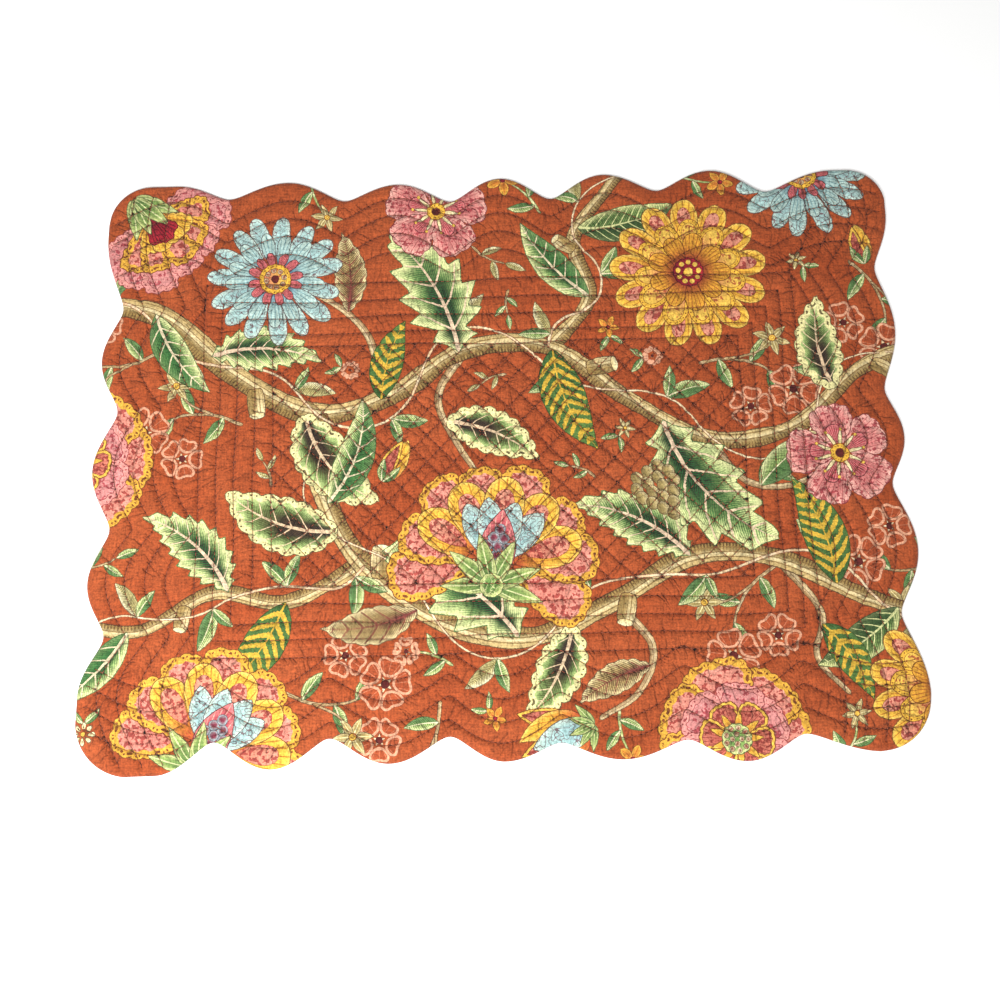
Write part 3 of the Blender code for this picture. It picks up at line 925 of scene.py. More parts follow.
def sprig(x, y, turn, radius):
    """A flower over a few leaves."""
    line = spine(at_angle((x, y), turn + 180, radius), turn - 20, radius * 1.6, 40)
    stem(line[::3], 2.0, 1.3, "green_twig")
    leaf(line[2], turn + 62, radius * 0.85, "small", -20)
    leaf(line[4], turn - 60, radius * 0.8, "small", 20)
    kind = hand.choice(("star_flower", "blossom", "gold_flower", "daisy"))
    flower(kind, *line[-1], turn, radius * 0.5)


def leafy_twig(x, y, turn, radius):
    """A few pale leaves on a twig."""
    line = spine(at_angle((x, y), turn + 180, radius), turn - 25, radius * 1.5, 50)
    stem(line[::3], 2.0, 1.3, "twig")
    kind = hand.choice(("pale", "small"))
    for at, angle in ((3, 55), (6, -55), (9, 8)):
        leaf(line[at], turn + angle, radius * 0.78, kind, -angle / 3)


def small_spot(x, y, turn, radius):
    """A single small flower or a pair of leaves."""
    kind = hand.choice(("cream_daisy", "gold_flower", "blossom", "star_flower"))
    leaf_pair(at_angle((x, y), turn, radius * 0.2), turn, radius, 0.9, 110)
    flower(kind, *at_angle((x, y), turn + 180, radius * 0.25), turn, radius * 0.55)


# ---- The print's layout, on the flat mat ----

STEMS = {
    # name: (start width, end width, look, points)
    "twig_up": (5.5, 3.0, "twig", ((-66, 34), (-74, 72), (-100, 96), (-128, 104))),
    "twig_middle": (5.5, 3.0, "twig", ((-18, 62), (-34, 34), (-22, 4), (-4, -22))),
    "twig_right": (5.0, 3.0, "twig", ((118, 6), (136, -18), (160, -22), (184, -12))),
    "twig_front": (5.5, 3.0, "twig", ((60, -84), (80, -108), (72, -132), (50, -146))),
    "twig_corner": (5.0, 3.0, "twig", ((150, -62), (172, -92), (168, -116), (184, -136))),
    "branch_up": (9.5, 6.5, "bark", ((30, 62), (54, 92), (46, 128), (66, 158), (82, 178))),
    "branch_left": (9.5, 6.0, "bark", ((-76, -60), (-118, -80), (-158, -74), (-198, -94), (-238, -88))),
    "branch_back": (13.5, 9.0, "bark",
                    ((-238, 96), (-192, 86), (-150, 50), (-104, 26), (-60, 36), (-18, 62), (30, 62), (74, 30),
                     (118, 6), (166, 12), (204, 44), (238, 58))),
    "branch_front": (9.0, 14.0, "bark",
                     ((238, -98), (196, -84), (150, -62), (104, -60), (60, -84), (14, -102), (-34, -92),
                      (-76, -60), (-98, -20), (-104, 26))),
}
TENDRILS = (
    # (stem, swing to each side, whole waves)
    ("branch_back", 13.0, 4.5),
    ("branch_front", 12.0, 3.5),
    ("branch_up", 9.0, 1.5),
    ("branch_left", 9.0, 2.0),
)
LEAVES = {
    # stem: rows of (share of the way along it, degrees to its heading, length, kind, bend)
    "branch_back": (
        (0.08, -52, 60, "long", 40),
        (0.16, 62, 66, "broad", -45),
        (0.28, -66, 72, "dotted", 60),
        (0.36, 66, 50, "banded", -30),
        (0.46, 78, 86, "acanthus", 40),
        (0.56, -64, 66, "banded", 40),
        (0.70, -44, 96, "acanthus", 55),
        (0.84, -80, 54, "khaki", 40),
        (0.90, 70, 60, "dotted", -40),
    ),
    "branch_front": (
        (0.06, 66, 56, "dark", -30),
        (0.14, -60, 64, "banded", 35),
        (0.33, -66, 74, "broad", 50),
        (0.50, 58, 60, "dotted", -40),
        (0.57, -55, 92, "acanthus", 45),
        (0.70, 60, 56, "khaki", -35),
        (0.84, 66, 72, "dotted", -50),
        (0.88, -62, 66, "long", 50),
    ),
    "branch_up": ((0.30, 60, 62, "long", -30), (0.62, -64, 60, "dark", 35)),
    "branch_left": ((0.28, 64, 60, "banded", -30), (0.46, -60, 68, "broad", 50), (0.80, 62, 54, "long", -30)),
    "twig_up": ((0.55, -60, 52, "khaki", 30),),
    "twig_middle": ((0.5, 60, 60, "dotted", -40),),
    "twig_right": ((0.5, 62, 44, "small", -25),),
    "twig_front": ((0.5, -60, 46, "khaki", 30),),
    "twig_corner": ((0.5, 60, 48, "banded", -30),),
}
STUBS = {
    # stem: rows of (share of the way along it, degrees to its heading, length), where a branch has been cut
    "branch_back": ((0.22, -50, 17), (0.60, 50, 17), (0.95, -50, 15)),
    "branch_front": ((0.42, 50, 17), (0.76, -50, 18)),
    "branch_up": ((0.50, 45, 14),),
    "branch_left": ((0.60, 45, 14),),
}
BLOOMS = (
    # (flower, x, y, turn, radius)
    ("carnation", -204, 150, -50, 48),
    ("aster", -128, 108, 10, 40),
    ("marigold", 112, 106, 8, 46),
    ("palmette", -4, -62, 80, 58),
    ("peony", -238, 2, 0, 44),
    ("wild_rose", 190, -4, 30, 30),
    ("palmette", -160, -158, 60, 54),
    ("marigold", 238, -134, 0, 44),
    ("tulip", 44, -150, 200, 22),
    ("aster", 182, 166, 0, 40),
    ("peony", 122, -158, 0, 42),
    ("wild_rose", -34, 148, 12, 30),
    ("berries", 82, -12, -60, 15),
    ("bud", -66, -14, 60, 14),
    ("bud", 214, 108, 100, 13),
)
SPRIGS = (
    # (clear radius, radius that it is drawn with, kinds)
    (22.0, 31.0, (spray,)),
    (18.5, 20.0, (spray, sprig, sprig)),
    (16.5, 17.0, (sprig, leafy_twig)),
    (14.5, 12.0, (leafy_twig, small_spot)),
)
CELL = 3.0  # how fine the room is searched
ROOM_TO_EDGE = 5.0  # from the edge to the nearest spot that a sprig is tried on
TRIES, PICKS = 160, 40  # for each size of sprig, and the spots that are compared in each try


def tendril(axis, swing, waves):
    """A thin stem that winds about a branch, with a leaf on each wave."""
    share = np.linspace(0.02, 0.98, len(axis))
    off = swing * np.sin(2 * np.pi * waves * share + 1) * np.minimum(1, 8 * np.minimum(share, 1 - share))
    line = axis + off[:, None] * left_of(np.gradient(axis, axis=0))
    path = stem(line[::4], 2.0, 1.3, "tendril")
    for number in range(int(2 * waves)):
        place, heading = on_stem(path, ((number + 0.5) / 2 - 1 / 2 / math.pi) / waves % 0.98)
        side = 1 if number % 2 == 0 else -1
        kind = hand.choice(("small", "pale", "small"))
        leaf(place, heading + side * 55, hand.uniform(20, 28), kind, side * -25)
        leaf(place, heading + side * 100, hand.uniform(14, 20), "small", side * 20)


def fill_room(edge):
    """Sprigs wherever there is room for them, the largest first."""
    cells = lattice(inset_loop(edge, ROOM_TO_EDGE), CELL)
    spots, taken = Spots(cells), np.zeros(len(cells), bool)
    for outline, *_ in shapes:
        near = spots.near(outline, CELL)
        taken[near] |= inside(cells[near], outline)
    for clear, radius, kinds in SPRIGS:
        for _ in range(TRIES):
            free = np.flatnonzero(~taken)
            picks = np.array(hand.sample(range(len(free)), PICKS))
            centres = cells[free[picks]]
            apart = np.hypot(*(centres[:, None] - cells[taken][None]).transpose(2, 0, 1)).min(axis=1)
            best = apart.argmax()
            if apart[best] > clear:
                hand.choice(kinds)(*centres[best], hand.uniform(0, 360), radius)
                taken |= np.hypot(*(cells - centres[best]).T) < radius


def lay_print(edge):
    """All the shapes of the print, the sprigs lowest and the large flowers topmost."""
    axes = {}
    for name, (start_width, end_width, look, points) in STEMS.items():
        axes[name] = stem(points, start_width, end_width, look, knots=0.14 if look == "bark" else 0.0)
    for name, stubs in STUBS.items():
        for share, angle, length in stubs:
            place, heading = on_stem(axes[name], share)
            blade(place, heading + angle, length, length * 0.62, "stub", 0.15, 0.12)
            # The pale face of the cut lies across its end
            cut = at_angle(place, heading + angle, length * 0.84)
            blade(cut, heading + angle, length * 0.24, length * 0.56, "cream", 0.5, 0.5, rounded=True)
    for name, swing, waves in TENDRILS:
        tendril(axes[name], swing, waves)
    for name, leaves in LEAVES.items():
        for share, angle, length, kind, bend in leaves:
            place, heading = on_stem(axes[name], share)
            leaf(place, heading + angle, length, kind, bend)
    for bloom in BLOOMS:
        flower(*bloom)
    main = len(shapes)
    fill_room(edge)
    shapes[:] = shapes[main:] + shapes[:main]


# ---- The print on the mesh: each face keeps the topmost shapes that show on it ----

LAYERS = 3  # shapes that one face can show
NO_SHAPE = -99.0  # how far inside its edge a point is where a layer holds no shape
NO_DOTS = 1000.0  # so far apart that none comes into an edge
NEXT_TO_NONE = 0.001
JUST_INSIDE = 0.02  # a face shows a shape that comes at least so far over one of its corners


def mixed(first, second, share):
    """A share of the second colour in the first, for each point."""
    return first + (second - first) * share[..., None]


def body_colours(look, along, across, inward, half_width):
    """The colour of a shape at each of its points."""
    body = mixed(np.array(linear(look["base"])), np.array(linear(look["tip"])), np.clip(along, 0, 1))
    deep = np.clip(inward / half_width, 0, 1)
    central = np.clip(inward, 0, None) / (np.clip(inward, 0, None) + np.abs(across) + NEXT_TO_NONE)
    shares = {
        "edge": 1 - np.clip(deep / look["edge_share"], 0, 1),
        "core": np.clip(1.7 - 1.7 * (1 - central) / look["core_share"], 0, 1)
        * np.clip(2.5 * (look["core_length"] - along), 0, 1),
        "heart": np.clip(1.5 * (1 - along / look["heart_share"]), 0, 1),
        "far_side": 0.85 * np.clip(0.5 - across / 1.5, 0, 1),
    }
    for name, share in shares.items():
        if look[name]:
            body = mixed(body, np.array(linear(look[name])), share)
    return body


def hatching(look, along, across, around, inward):
    """Where each point is in the hatching's beat, and how heavy the strokes are there, from 0 to 0.5."""
    bow = np.abs(across) * (0.8 + 0.03 * np.abs(across))
    place = along - look["slant"] * bow if look["hatch_leans"] else around
    if not look["hatch"]:
        return place, np.zeros(len(place))
    weight = np.interp((inward - look["rim_width"]) / look["hatch"], (0, 0.5, 1), look["hatch_weights"])
    if look["hatch_one_side"]:
        weight = weight * np.clip(0.5 - across / 2, 0, 1)
    return place / look["hatch_pitch"], weight


def style_of(look, length):
    """What a face says of the shape on it: rows of three numbers that the material reads."""
    rate = 1 / look["veins"] if look["veins"] else 0.0
    share = look["vein_share"] if look["veins"] or look["rays"] else 0.0
    return {
        "band": (look["rim_width"], look["dots"] or NO_DOTS, look["rim_line"]),
        "ribs": (rate, look["slant"], look["rays"]),
        "rays": (look["ray_start"] or 0.25 * length, share, look["midrib"]),
        "fill": (look["mottle"], look["scroll"], -1 / length),
    }


def printed_on(points, faces, total):
    """The layers' values, by attribute name: a vector for each of all faces, or for each of their corners."""
    held = {name: np.zeros((LAYERS, total, 3, 3), np.float32) for name in ("chart", "edge", "body")}
    for name in ("form", "band", "ribs", "rays", "fill", "tint", "rim", "ink"):
        held[name] = np.zeros((LAYERS, total, 3), np.float32)
    held["chart"][..., 2] = NO_SHAPE
    taken, hidden = np.zeros(len(faces), int), np.zeros(len(faces), bool)
    middles = Spots(points[faces].mean(axis=1))
    for outline, axis, look, rounded in reversed(shapes):
        near = middles.near(outline, STEP)
        near = near[~hidden[near]]
        if not len(near):
            continue
        used, at = np.unique(faces[near], return_inverse=True)
        at = at.reshape(-1, 3)
        spots = points[used]
        to_edge, round_edge, _ = place_on(spots, outline, closed=True)
        inward = np.where(inside(spots, outline), to_edge, -to_edge)
        _, along, across = place_on(spots, axis)
        shown = (inward[at].max(axis=1) > JUST_INSIDE) & (taken[near] < LAYERS)
        near, at = near[shown], at[shown]
        if not len(near):
            continue
        length = np.hypot(*np.diff(axis, axis=0).T).sum()
        half_length = length / 2 if rounded else 0.0
        spread = np.hypot(along - half_length, across) if rounded else np.abs(across)
        around = np.hypot(*(np.roll(outline, -1, axis=0) - outline).T).sum()
        # A face that lies over the outline's start counts on, past a whole turn
        turns = round_edge[at]
        over_start = np.ptp(turns, axis=1) > around / 2
        turns = turns + around * (over_start[:, None] & (turns < around / 2))
        layer = taken[near]
        held["chart"][layer, near] = np.stack([along[at], across[at], (inward + spread)[at]], axis=2)
        beat, weight = hatching(look, along, across, round_edge, inward)
        beat = beat[at]
        if not look["hatch_leans"]:
            beat += (turns - round_edge[at]) / look["hatch_pitch"]
        held["edge"][layer, near] = np.stack([turns, beat, weight[at]], axis=2)
        body = body_colours(look, along / length, across, inward, max(inward.max(), 1.0))
        held["body"][layer, near] = INK_SHARE * body[at]
        held["form"][layer, near] = (1.0 if rounded else 0.0, half_length, look["line"])
        for key, value in style_of(look, length).items():
            held[key][layer, near] = value
        for key in ("tint", "rim", "ink"):
            held[key][layer, near] = INK_SHARE * np.array(linear(look[key]))
        taken[near] += 1
        hidden[near] |= inward[at].min(axis=1) > 0
    return held


# ---- Materials ----


def add_node(tree, kind, inputs=(), **settings):
    """Adds a node with its settings, and its inputs each linked to a socket or set to a value."""
    node = tree.nodes.new(kind)
    for name, value in settings.items():
        setattr(node, name, value)
    for key, value in dict(inputs).items():
        if isinstance(value, bpy.types.NodeSocket):
            tree.links.new(value, node.inputs[key])
        else:
            node.inputs[key].default_value = value
    return node


def worked_out(tree, values, steps):
    """Adds a Math node for each step, a row of (name, operation, inputs), and names its result in values."""
    for name, operation, *inputs in steps:
        sockets = {at: values.get(x, x) if isinstance(x, str) else x for at, x in enumerate(inputs)}
        values[name] = add_node(tree, "ShaderNodeMath", sockets, operation=operation).outputs[0]


# How one layer of the print is drawn. Lengths are millimetres
LAYER_STEPS = (
    # Inward from the edge: the shape's own reach less the way out to the point
    ("from_middle", "SUBTRACT", "along", "half_length"),
    ("from_middle", "MULTIPLY", "from_middle", "rounded"),
    ("out", "MULTIPLY", "from_middle", "from_middle"),
    ("out", "MULTIPLY_ADD", "across", "across", "out"),
    ("out", "SQRT", "out"),
    ("inward", "SUBTRACT", "reach", "out"),
    ("inward", "ADD", "inward", "wobble"),
    ("shape", "GREATER_THAN", "inward", 0.0),
    # The outline, uneven as a printed line is
    ("line", "MULTIPLY", "line", "pressure"),
    ("outline", "LESS_THAN", "inward", "line"),
    # The rim band, the thin line inside it, and its dots
    ("in_rim", "LESS_THAN", "inward", "rim_width"),
    ("past_rim", "SUBTRACT", "inward", "rim_width"),
    ("rim_line", "ABSOLUTE", "past_rim"),
    ("rim_line", "LESS_THAN", "rim_line", "rim_line_half"),
    ("beat", "DIVIDE", "round_edge", "dots"),
    ("beat", "FRACT", "beat"),
    ("beat", "SUBTRACT", "beat", 0.5),
    ("beat", "MULTIPLY", "beat", "dots"),
    ("level", "MULTIPLY_ADD", "rim_width", -0.5, "inward"),
    ("level", "MULTIPLY", "level", "level"),
    ("level", "MULTIPLY_ADD", "beat", "beat", "level"),
    ("level", "SQRT", "level"),
    ("dot_size", "MULTIPLY", "rim_width", 0.17),
    ("dot", "LESS_THAN", "level", "dot_size"),
    # Hatching strokes
    ("stroke", "PINGPONG", "hatch_beat", 0.5),
    ("weight", "MULTIPLY", "hatch_weight", "pressure"),
    ("stroke", "LESS_THAN", "stroke", "weight"),
    # Side veins that lean to the tip, rays from the base, and the midrib, all thinner near the edge
    ("sideways", "ABSOLUTE", "across"),
    ("vein", "MULTIPLY_ADD", "sideways", 0.03, 0.8),
    ("vein", "MULTIPLY", "vein", "sideways"),
    ("vein", "MULTIPLY", "vein", "slant"),
    ("vein", "SUBTRACT", "along", "vein"),
    ("vein", "MULTIPLY", "vein", "vein_rate"),
    ("ray", "ADD", "along", "ray_start"),
    ("ray", "DIVIDE", "across", "ray"),
    ("vein", "MULTIPLY_ADD", "ray", "ray_count", "vein"),
    ("vein", "PINGPONG", "vein", 0.5),
    ("taper", "MULTIPLY", "inward", 0.45),
    ("taper", "MINIMUM", "taper", 1.0),
    ("vein_half", "MULTIPLY", "vein_share", "taper"),
    ("vein_half", "MULTIPLY", "vein_half", "half_pressure"),
    ("vein", "LESS_THAN", "vein", "vein_half"),
    ("rib_half", "MULTIPLY_ADD", "along", "to_tip", 1.15),
    ("rib_half", "MULTIPLY", "midrib", "rib_half"),
    ("rib", "LESS_THAN", "sideways", "rib_half"),
    # Mottling and scrolls
    ("mottled", "LESS_THAN", "blotch", "mottle"),
    ("scrolled", "LESS_THAN", "scrolls", "scroll"),
    ("mottled", "MAXIMUM", "mottled", "scrolled"),
    ("mottled", "MULTIPLY", "mottled", 0.85),
    ("stroke", "MULTIPLY", "stroke", 0.75),
    ("ribbed", "MAXIMUM", "vein", "rib"),
    ("ribbed", "MULTIPLY", "ribbed", 0.9),
    ("inked", "MAXIMUM", "outline", "dot"),
    ("inked", "MAXIMUM", "inked", "rim_line"),
    ("inked", "MULTIPLY", "inked", 0.9),
)
LAYER_INKS = (
    # (where it is drawn, in which colour), from the first to the last
    ("mottled", "tint"),
    ("stroke", "ink"),
    ("ribbed", "tint"),
    ("in_rim", "rim"),
    ("inked", "ink"),
)
LAYER_VALUES = {
    # attribute: what its three numbers are
    "chart": ("along", "across", "reach"),
    "form": ("rounded", "half_length", "line"),
    "band": ("rim_width", "dots", "rim_line_half"),
    "ribs": ("vein_rate", "slant", "ray_count"),
    "rays": ("ray_start", "vein_share", "midrib"),
    "fill": ("mottle", "scroll", "to_tip"),
    "edge": ("round_edge", "hatch_beat", "hatch_weight"),
}
CLOTH_VALUES = {"seam": ("to_seam",), "crease": ("off_crease", "crease_depth")}


def stored_values(tree, names, suffix=""):
    """The numbers that the mesh has stored in its attributes, by the names that a table gives them."""
    values = {}
    for attribute, parts in names.items():
        held = add_node(tree, "ShaderNodeAttribute", attribute_name=attribute + suffix).outputs["Vector"]
        values |= dict(zip(parts, add_node(tree, "ShaderNodeSeparateXYZ", {0: held}).outputs))
    return values


def print_layer(tree, number, shared, below):
    """The colour with one layer of the print drawn over what is below it."""
    values = shared | stored_values(tree, LAYER_VALUES, f"_{number}")
    worked_out(tree, values, LAYER_STEPS)
    colours = {
        name: add_node(tree, "ShaderNodeAttribute", attribute_name=f"{name}_{number}").outputs["Vector"]
        for name in ("body", "tint", "rim", "ink")
    }
    drawn = colours["body"]
    for mask, colour in LAYER_INKS:
        mix = {0: values[mask], 6: drawn, 7: colours[colour]}
        drawn = add_node(tree, "ShaderNodeMix", mix, data_type="RGBA").outputs[2]
    over = {0: values["shape"], 6: below, 7: drawn}
    return add_node(tree, "ShaderNodeMix", over, data_type="RGBA").outputs[2]


GROUND, GROUND_WORN = "#903F1C", "#9C4A25"
INK_SHARE = 0.8  # how much of a colour's brightness the cloth gives back
WEAVE_PITCH = 1.0  # cotton sheeting has a thread every 0.35 mm, drawn as coarse as it needs to show
WOBBLE = 0.5  # how far an outline wanders in all
RELIEF_UNIT = 0.1

NOISES = {
    # name: (size of its patches in millimetres along x, y and z, detail)
    "wander": (2.4, 2.4, 2.4, 1.0),
    "blotch": (2.3, 2.3, 2.3, 1.0),
    "scroll_noise": (3.0, 3.0, 3.0, 0.0),
    "press": (1.1, 1.1, 1.1, 1.0),
    "cloud": (45.0, 45.0, 45.0, 3.0),
    "fleck": (1.0, 1.0, 1.0, 2.0),
    "ruck": (4.3, 4.3, 4.3, 2.0),
    "warp_slub": (0.9, 6.0, 6.0, 1.0),
    "weft_slub": (6.0, 0.9, 6.0, 1.0),
}
SHARED_STEPS = (
    ("wobble", "MULTIPLY_ADD", "wander", WOBBLE, -WOBBLE / 2),
    ("pressure", "MULTIPLY_ADD", "press", 1.6, 0.2),
    ("half_pressure", "MULTIPLY", "pressure", 0.5),
    ("scrolls", "SUBTRACT", "scroll_noise", 0.5),
    ("scrolls", "ABSOLUTE", "scrolls"),
    # The groove that the stitches pull in, as the mask of its painted shade, and the creases that set out
    # from it
    ("groove_shade", "DIVIDE", "to_seam", GROOVE_SHADE_HALF_WIDTH),
    ("groove_shade", "SUBTRACT", 1.0, "groove_shade"),
    ("groove_shade", "MAXIMUM", "groove_shade", 0.0),
    ("bead", "MULTIPLY_ADD", "wander", 2.4, -0.1),
    ("groove_shade", "MULTIPLY", "groove_shade", "bead"),
    ("bend", "MULTIPLY_ADD", "ruck", 3.0, -1.5),
    ("off_crease", "ADD", "off_crease", "bend"),
    ("off_crease", "MULTIPLY", "off_crease", 2.8),
    ("crease", "MULTIPLY_ADD", "off_crease", "off_crease", 1.0),
    ("crease", "DIVIDE", "crease_depth", "crease"),
    # The threads: two sets that pass over and under each other, thick and thin
    ("slubs", "ADD", "warp_slub", "weft_slub"),
    ("warp", "MULTIPLY", "x", math.pi / (WEAVE_PITCH * MM)),
    ("warp", "SINE", "warp"),
    ("weft", "MULTIPLY", "y", math.pi / (WEAVE_PITCH * MM)),
    ("weft", "SINE", "weft"),
    ("weave", "MULTIPLY", "warp", "weft"),
    # The relief, in relief units
    ("relief", "MULTIPLY_ADD", "slubs", 1.6, "fleck"),
    ("relief", "MULTIPLY_ADD", "weave", 0.35, "relief"),
    ("relief", "MULTIPLY_ADD", "ruck", 10.0, "relief"),
    ("relief", "MULTIPLY_ADD", "crease", -12.0, "relief"),
    # How much light the cloth gives back: less from thin threads, and less in the groove and in the creases,
    # where the darkening is painted shade
    ("shade", "MULTIPLY_ADD", "fleck", 1.5, -0.6),
    ("shade", "MULTIPLY_ADD", "slubs", 0.85, "shade"),
    # Painted shade: the cloth is darkened in the groove along a row of stitches
    ("dark", "MULTIPLY_ADD", "groove_shade", -0.7, 1.0),
    ("shade", "MULTIPLY", "shade", "dark"),
    # Painted shade: the cloth is darkened inside each crease
    ("dark", "MULTIPLY_ADD", "crease", -0.36, 1.0),
    ("shade", "MULTIPLY", "shade", "dark"),
)


def new_material(name, constants):
    """(material, its node tree, its shader), with the shader's constants set."""
    material = bpy.data.materials.new(name)
    material.use_nodes = True
    shader = material.node_tree.nodes["Principled BSDF"]
    for key, value in constants.items():
        shader.inputs[key].default_value = value
    return material, material.node_tree, shader


def printed_cotton():
    """Cotton sheeting, reactive printed: matt, with a fine weave and inks that have sunk in unevenly."""
    constants = {"Roughness": 0.9, "Sheen Weight": 0.04, "Sheen Roughness": 0.5, "Specular IOR Level": 0.3}
    material, tree, shader = new_material("printed_cotton_sheeting", constants)
    place = add_node(tree, "ShaderNodeTexCoord").outputs["Object"]
    values = stored_values(tree, CLOTH_VALUES)
    values |= dict(zip("xy", add_node(tree, "ShaderNodeSeparateXYZ", {0: place}).outputs))
    for name, (*sizes, detail) in NOISES.items():
        rates = [1 / (size * MM) for size in sizes]
        at = add_node(tree, "ShaderNodeVectorMath", {0: place, 1: rates}, operation="MULTIPLY").outputs[0]
        noise = {"Vector": at, "Scale": 1.0, "Detail": detail, "Roughness": 0.6}
        values[name] = add_node(tree, "ShaderNodeTexNoise", noise).outputs["Fac"]
    worked_out(tree, values, SHARED_STEPS)

    # The dyed ground is a little faded in places
    ramp = {0: values["cloud"], 1: 0.35, 2: 0.65, 3: 0.0, 4: 1.0}
    cloud = add_node(tree, "ShaderNodeMapRange", ramp).outputs[0]
    worn = {0: cloud, 6: (*linear(GROUND), 1), 7: (*linear(GROUND_WORN), 1)}
    colour = add_node(tree, "ShaderNodeMix", worn, data_type="RGBA").outputs[2]
    for number in reversed(range(LAYERS)):
        colour = print_layer(tree, number, values, colour)
    shaded = {0: colour, 3: values["shade"]}
    dyed = add_node(tree, "ShaderNodeVectorMath", shaded, operation="SCALE").outputs[0]
    tree.links.new(dyed, shader.inputs["Base Color"])
    bump = {"Strength": 0.7, "Distance": RELIEF_UNIT * MM, "Height": values["relief"]}
    tree.links.new(add_node(tree, "ShaderNodeBump", bump).outputs[0], shader.inputs["Normal"])
    return material


THREAD_FLECK = 1.4  # two turns of its twist


def rust_thread():
    """Polyester sewing thread, twisted: a slight gloss on each stitch."""
    constants = {"Roughness": 0.55, "Sheen Weight": 0.1}
    material, tree, shader = new_material("rust_sewing_thread", constants)
    place = add_node(tree, "ShaderNodeTexCoord").outputs["Object"]
    noise = {"Vector": place, "Scale": 1 / (THREAD_FLECK * MM), "Detail": 1.0}
    fleck = add_node(tree, "ShaderNodeTexNoise", noise).outputs["Fac"]
    tones = {0: fleck, 6: (*linear("#6E2813"), 1), 7: (*linear("#A5522C"), 1)}
    colour = add_node(tree, "ShaderNodeMix", tones, data_type="RGBA").outputs[2]
    tree.links.new(colour, shader.inputs["Base Color"])
    return material


def floor_paint():
    """A plain matt pale floor."""
    constants = {"Base Color": (*linear("#FEFEFD"), 1), "Roughness": 0.9}
    return new_material("matt_pale_floor", constants)[0]


# ---- The pieces ----


def add_object(name, data):
    """Adds an object with its data to the scene."""
    added = bpy.data.objects.new(name, data)
    bpy.context.scene.collection.objects.link(added)
    return added


def make_piece(name, points, faces, material):
    """A smooth mesh from points in millimetres and a list of faces."""
    mesh = bpy.data.meshes.new(name)
    mesh.from_pydata((points * MM).tolist(), [], faces)
    mesh.materials.append(material)
    mesh.shade_smooth()
    return add_object(name, mesh)


def store(mesh, name, domain, values):
    """Keeps one vector for each point, corner or face, as an attribute that the material reads."""
    attribute = mesh.attributes.new(name, "FLOAT_VECTOR", domain)
    attribute.data.foreach_set("vector", np.ascontiguousarray(values, np.float32).ravel())


ON_SEAM = 0.05  # a point no further off lies on a row of stitches


def make_mat(flat, height, printed, plain, seam, creases):
    """The cloth, with its print and creases stored on it."""
    faces = np.vstack([printed, plain])
    cloth = make_piece("quilted_cloth", np.column_stack([flat, height]), faces.tolist(), printed_cotton())
    for name, values in printed_on(flat, printed, len(faces)).items():
        for number, layer in enumerate(values):
            store(cloth.data, f"{name}_{number}", "CORNER" if layer.ndim == 3 else "FACE", layer)
    store(cloth.data, "crease", "CORNER", pucker_chart(flat, printed, len(faces), creases))
    store(cloth.data, "seam", "POINT", np.column_stack([seam, seam * 0, seam * 0]))
    # The cloth is folded along its rows of stitches, so it isn't shaded smooth across them
    ends = np.zeros(2 * len(cloth.data.edges), np.int32)
    cloth.data.edges.foreach_get("vertices", ends)
    sharp = (seam[ends.reshape(-1, 2)] < ON_SEAM).all(axis=1)
    cloth.data.attributes.new("sharp_edge", "BOOLEAN", "EDGE").data.foreach_set("value", sharp)
    return cloth


STITCH_PITCH = 3.1
STITCH_LENGTH = 2.4
STITCH_RISE = 0.06  # its middle above the cloth
THREAD_HALF_WIDTH = 0.19
THREAD_HALF_HEIGHT = 0.14


def make_stitches(rows, edge_lengths):
    """The lock stitches of all rows, on both sides of the mat, as one mesh."""
    lines = [evenly(row, STITCH_PITCH) for row in rows]
    centre = np.vstack([(line[1:] + line[:-1]) / 2 for line in lines])
    across = left_of(np.vstack([line[1:] - line[:-1] for line in lines]))
    along = np.column_stack([across[:, 1], -across[:, 0]])
    to_rim = to_rows(centre, edge_lengths, RIM_REACH)
    none = np.zeros(len(centre))
    # Two ends that sink into the cloth, and two rings of four points between them
    turns = np.radians((0, 90, 180, 270))
    corners = [(-0.5, 0.0, -1.6), (0.5, 0.0, -1.6)]
    corners += [(at, math.cos(turn), math.sin(turn)) for at in (-0.3, 0.3) for turn in turns]
    around = [(at, (at + 1) % 4) for at in range(4)]
    pattern = [(0, 2 + b, 2 + a) for a, b in around]
    pattern += [(2 + a, 2 + b, 6 + b, 6 + a) for a, b in around]
    pattern += [(1, 6 + a, 6 + b) for a, b in around]
    points, faces = [], []
    for up, surface in ((1, top_height(centre, none, to_rim, none)), (-1, under_height(none, to_rim))):
        height = surface + up * STITCH_RISE
        first = len(centre) * len(corners) * len(points)
        placed = []
        for lengthwise, sideways, high in corners:
            flat = centre + along * (lengthwise * STITCH_LENGTH) + across * (sideways * THREAD_HALF_WIDTH)
            placed.append(np.column_stack([flat, height + up * high * THREAD_HALF_HEIGHT]))
        points.append(np.stack(placed, axis=1).reshape(-1, 3))
        for start in range(first, first + len(centre) * len(corners), len(corners)):
            faces += [[start + at for at in face[::up]] for face in pattern]
    return make_piece("quilting_stitches", np.vstack(points), faces, rust_thread())


# ---- The studio ----

# The camera stands over the mat's front edge and looks down at it
CAMERA_ELEVATION, CAMERA_AZIMUTH, CAMERA_ROLL = 78.680, 1.507, -2.866
CAMERA_DISTANCE = 557.8
LOOK_AT = (-0.3, -25.6, 0.0)
LENS, SENSOR = 36.0, 36.0


def aim(obj, place, target, roll=0.0):
    """Puts a camera or lamp at a place, aimed at a target."""
    obj.location = Vector(place) * MM
    look = (Vector(target) - Vector(place)).to_track_quat("-Z", "Y").to_matrix().to_4x4()
    obj.rotation_euler = (look @ Matrix.Rotation(math.radians(roll), 4, "Z")).to_euler()


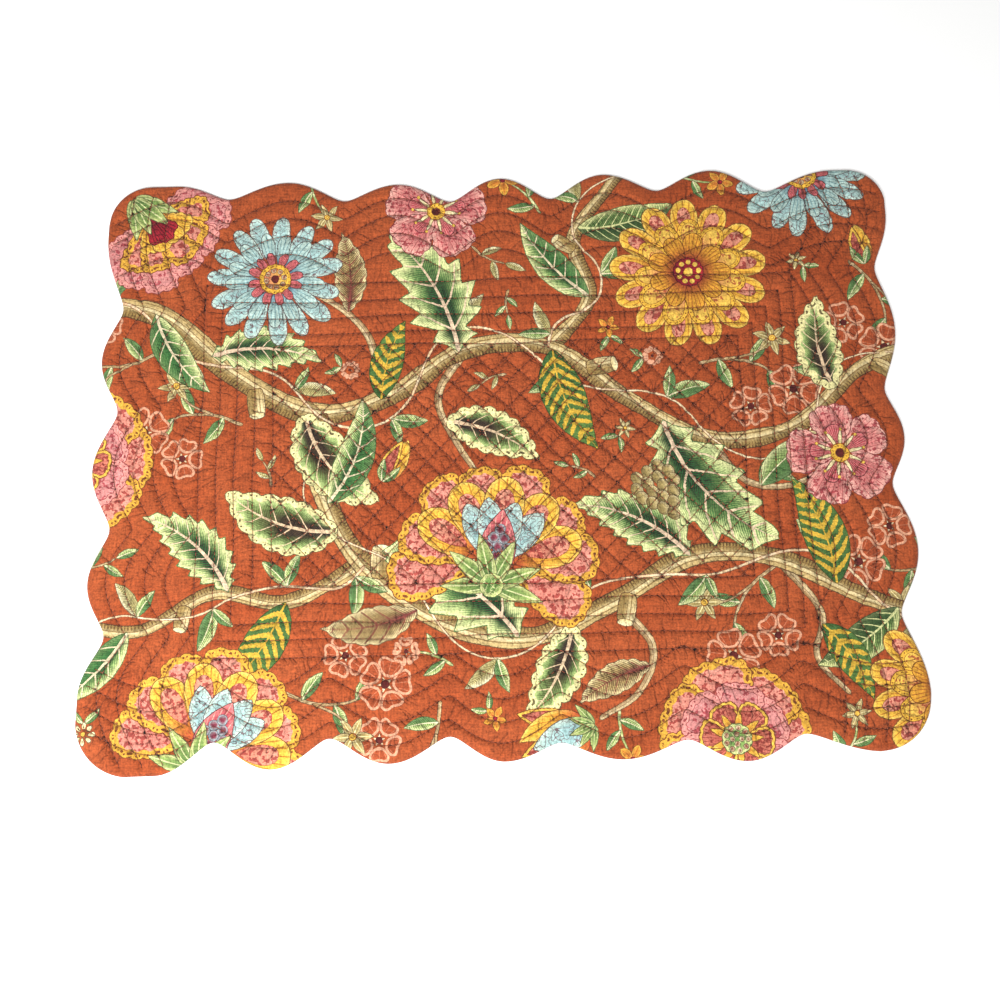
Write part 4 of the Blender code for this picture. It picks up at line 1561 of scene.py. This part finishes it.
def make_camera():
    """The camera, where the photograph was taken from."""
    data = bpy.data.cameras.new("camera")
    data.lens, data.sensor_width = LENS, SENSOR
    camera = add_object("camera", data)
    up, round_by = math.radians(CAMERA_ELEVATION), math.radians(CAMERA_AZIMUTH)
    back = Vector((math.sin(round_by) * math.cos(up), -math.cos(round_by) * math.cos(up), math.sin(up)))
    aim(camera, Vector(LOOK_AT) + back * CAMERA_DISTANCE, LOOK_AT, CAMERA_ROLL)
    bpy.context.scene.camera = camera


LAMPS = {
    # name: (place, size, watts)
    "front_softbox": ((-150.0, -1120.0, 1120.0), 600.0, 14.8),
    "near_lamp": ((-250.0, -260.0, 470.0), 250.0, 3.7),
}


FLOOR_SIZE, FLOOR_DROP = 6000.0, 0.1
ROOM_LIGHT = 0.5


def make_studio():
    """The floor, the lamps and the pale room around them."""
    bpy.ops.mesh.primitive_plane_add(size=FLOOR_SIZE * MM, location=(0, 0, -FLOOR_DROP * MM))
    floor = bpy.context.object
    floor.name = "floor"
    floor.data.materials.append(floor_paint())
    for name, (place, size, watts) in LAMPS.items():
        data = bpy.data.lights.new(name, "AREA")
        data.size, data.energy = size * MM, watts
        aim(add_object(name, data), place, (0, 0, 0))
    world = bpy.data.worlds.new("soft_room")
    bpy.context.scene.world = world
    world.use_nodes = True
    background = world.node_tree.nodes["Background"]
    background.inputs[0].default_value = (1.0, 1.0, 1.0, 1.0)
    background.inputs[1].default_value = ROOM_LIGHT
    bpy.context.scene.view_settings.view_transform = "Standard"


def main():
    """The whole scene: the studio, then the mat with its print, then its stitches."""
    bpy.ops.object.select_all(action="DESELECT")
    make_camera()
    make_studio()
    edge = cut_edge(STEP)
    lay_print(edge)
    flat, height, printed, plain, seam, creases, rows, edge_lengths = quilted_cloth(edge)
    cloth = make_mat(flat, height, printed, plain, seam, creases)
    stitches = make_stitches(rows, edge_lengths)
    for piece in (cloth, stitches):
        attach(piece, "root")
    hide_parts("quilted_mat")
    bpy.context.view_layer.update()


main()
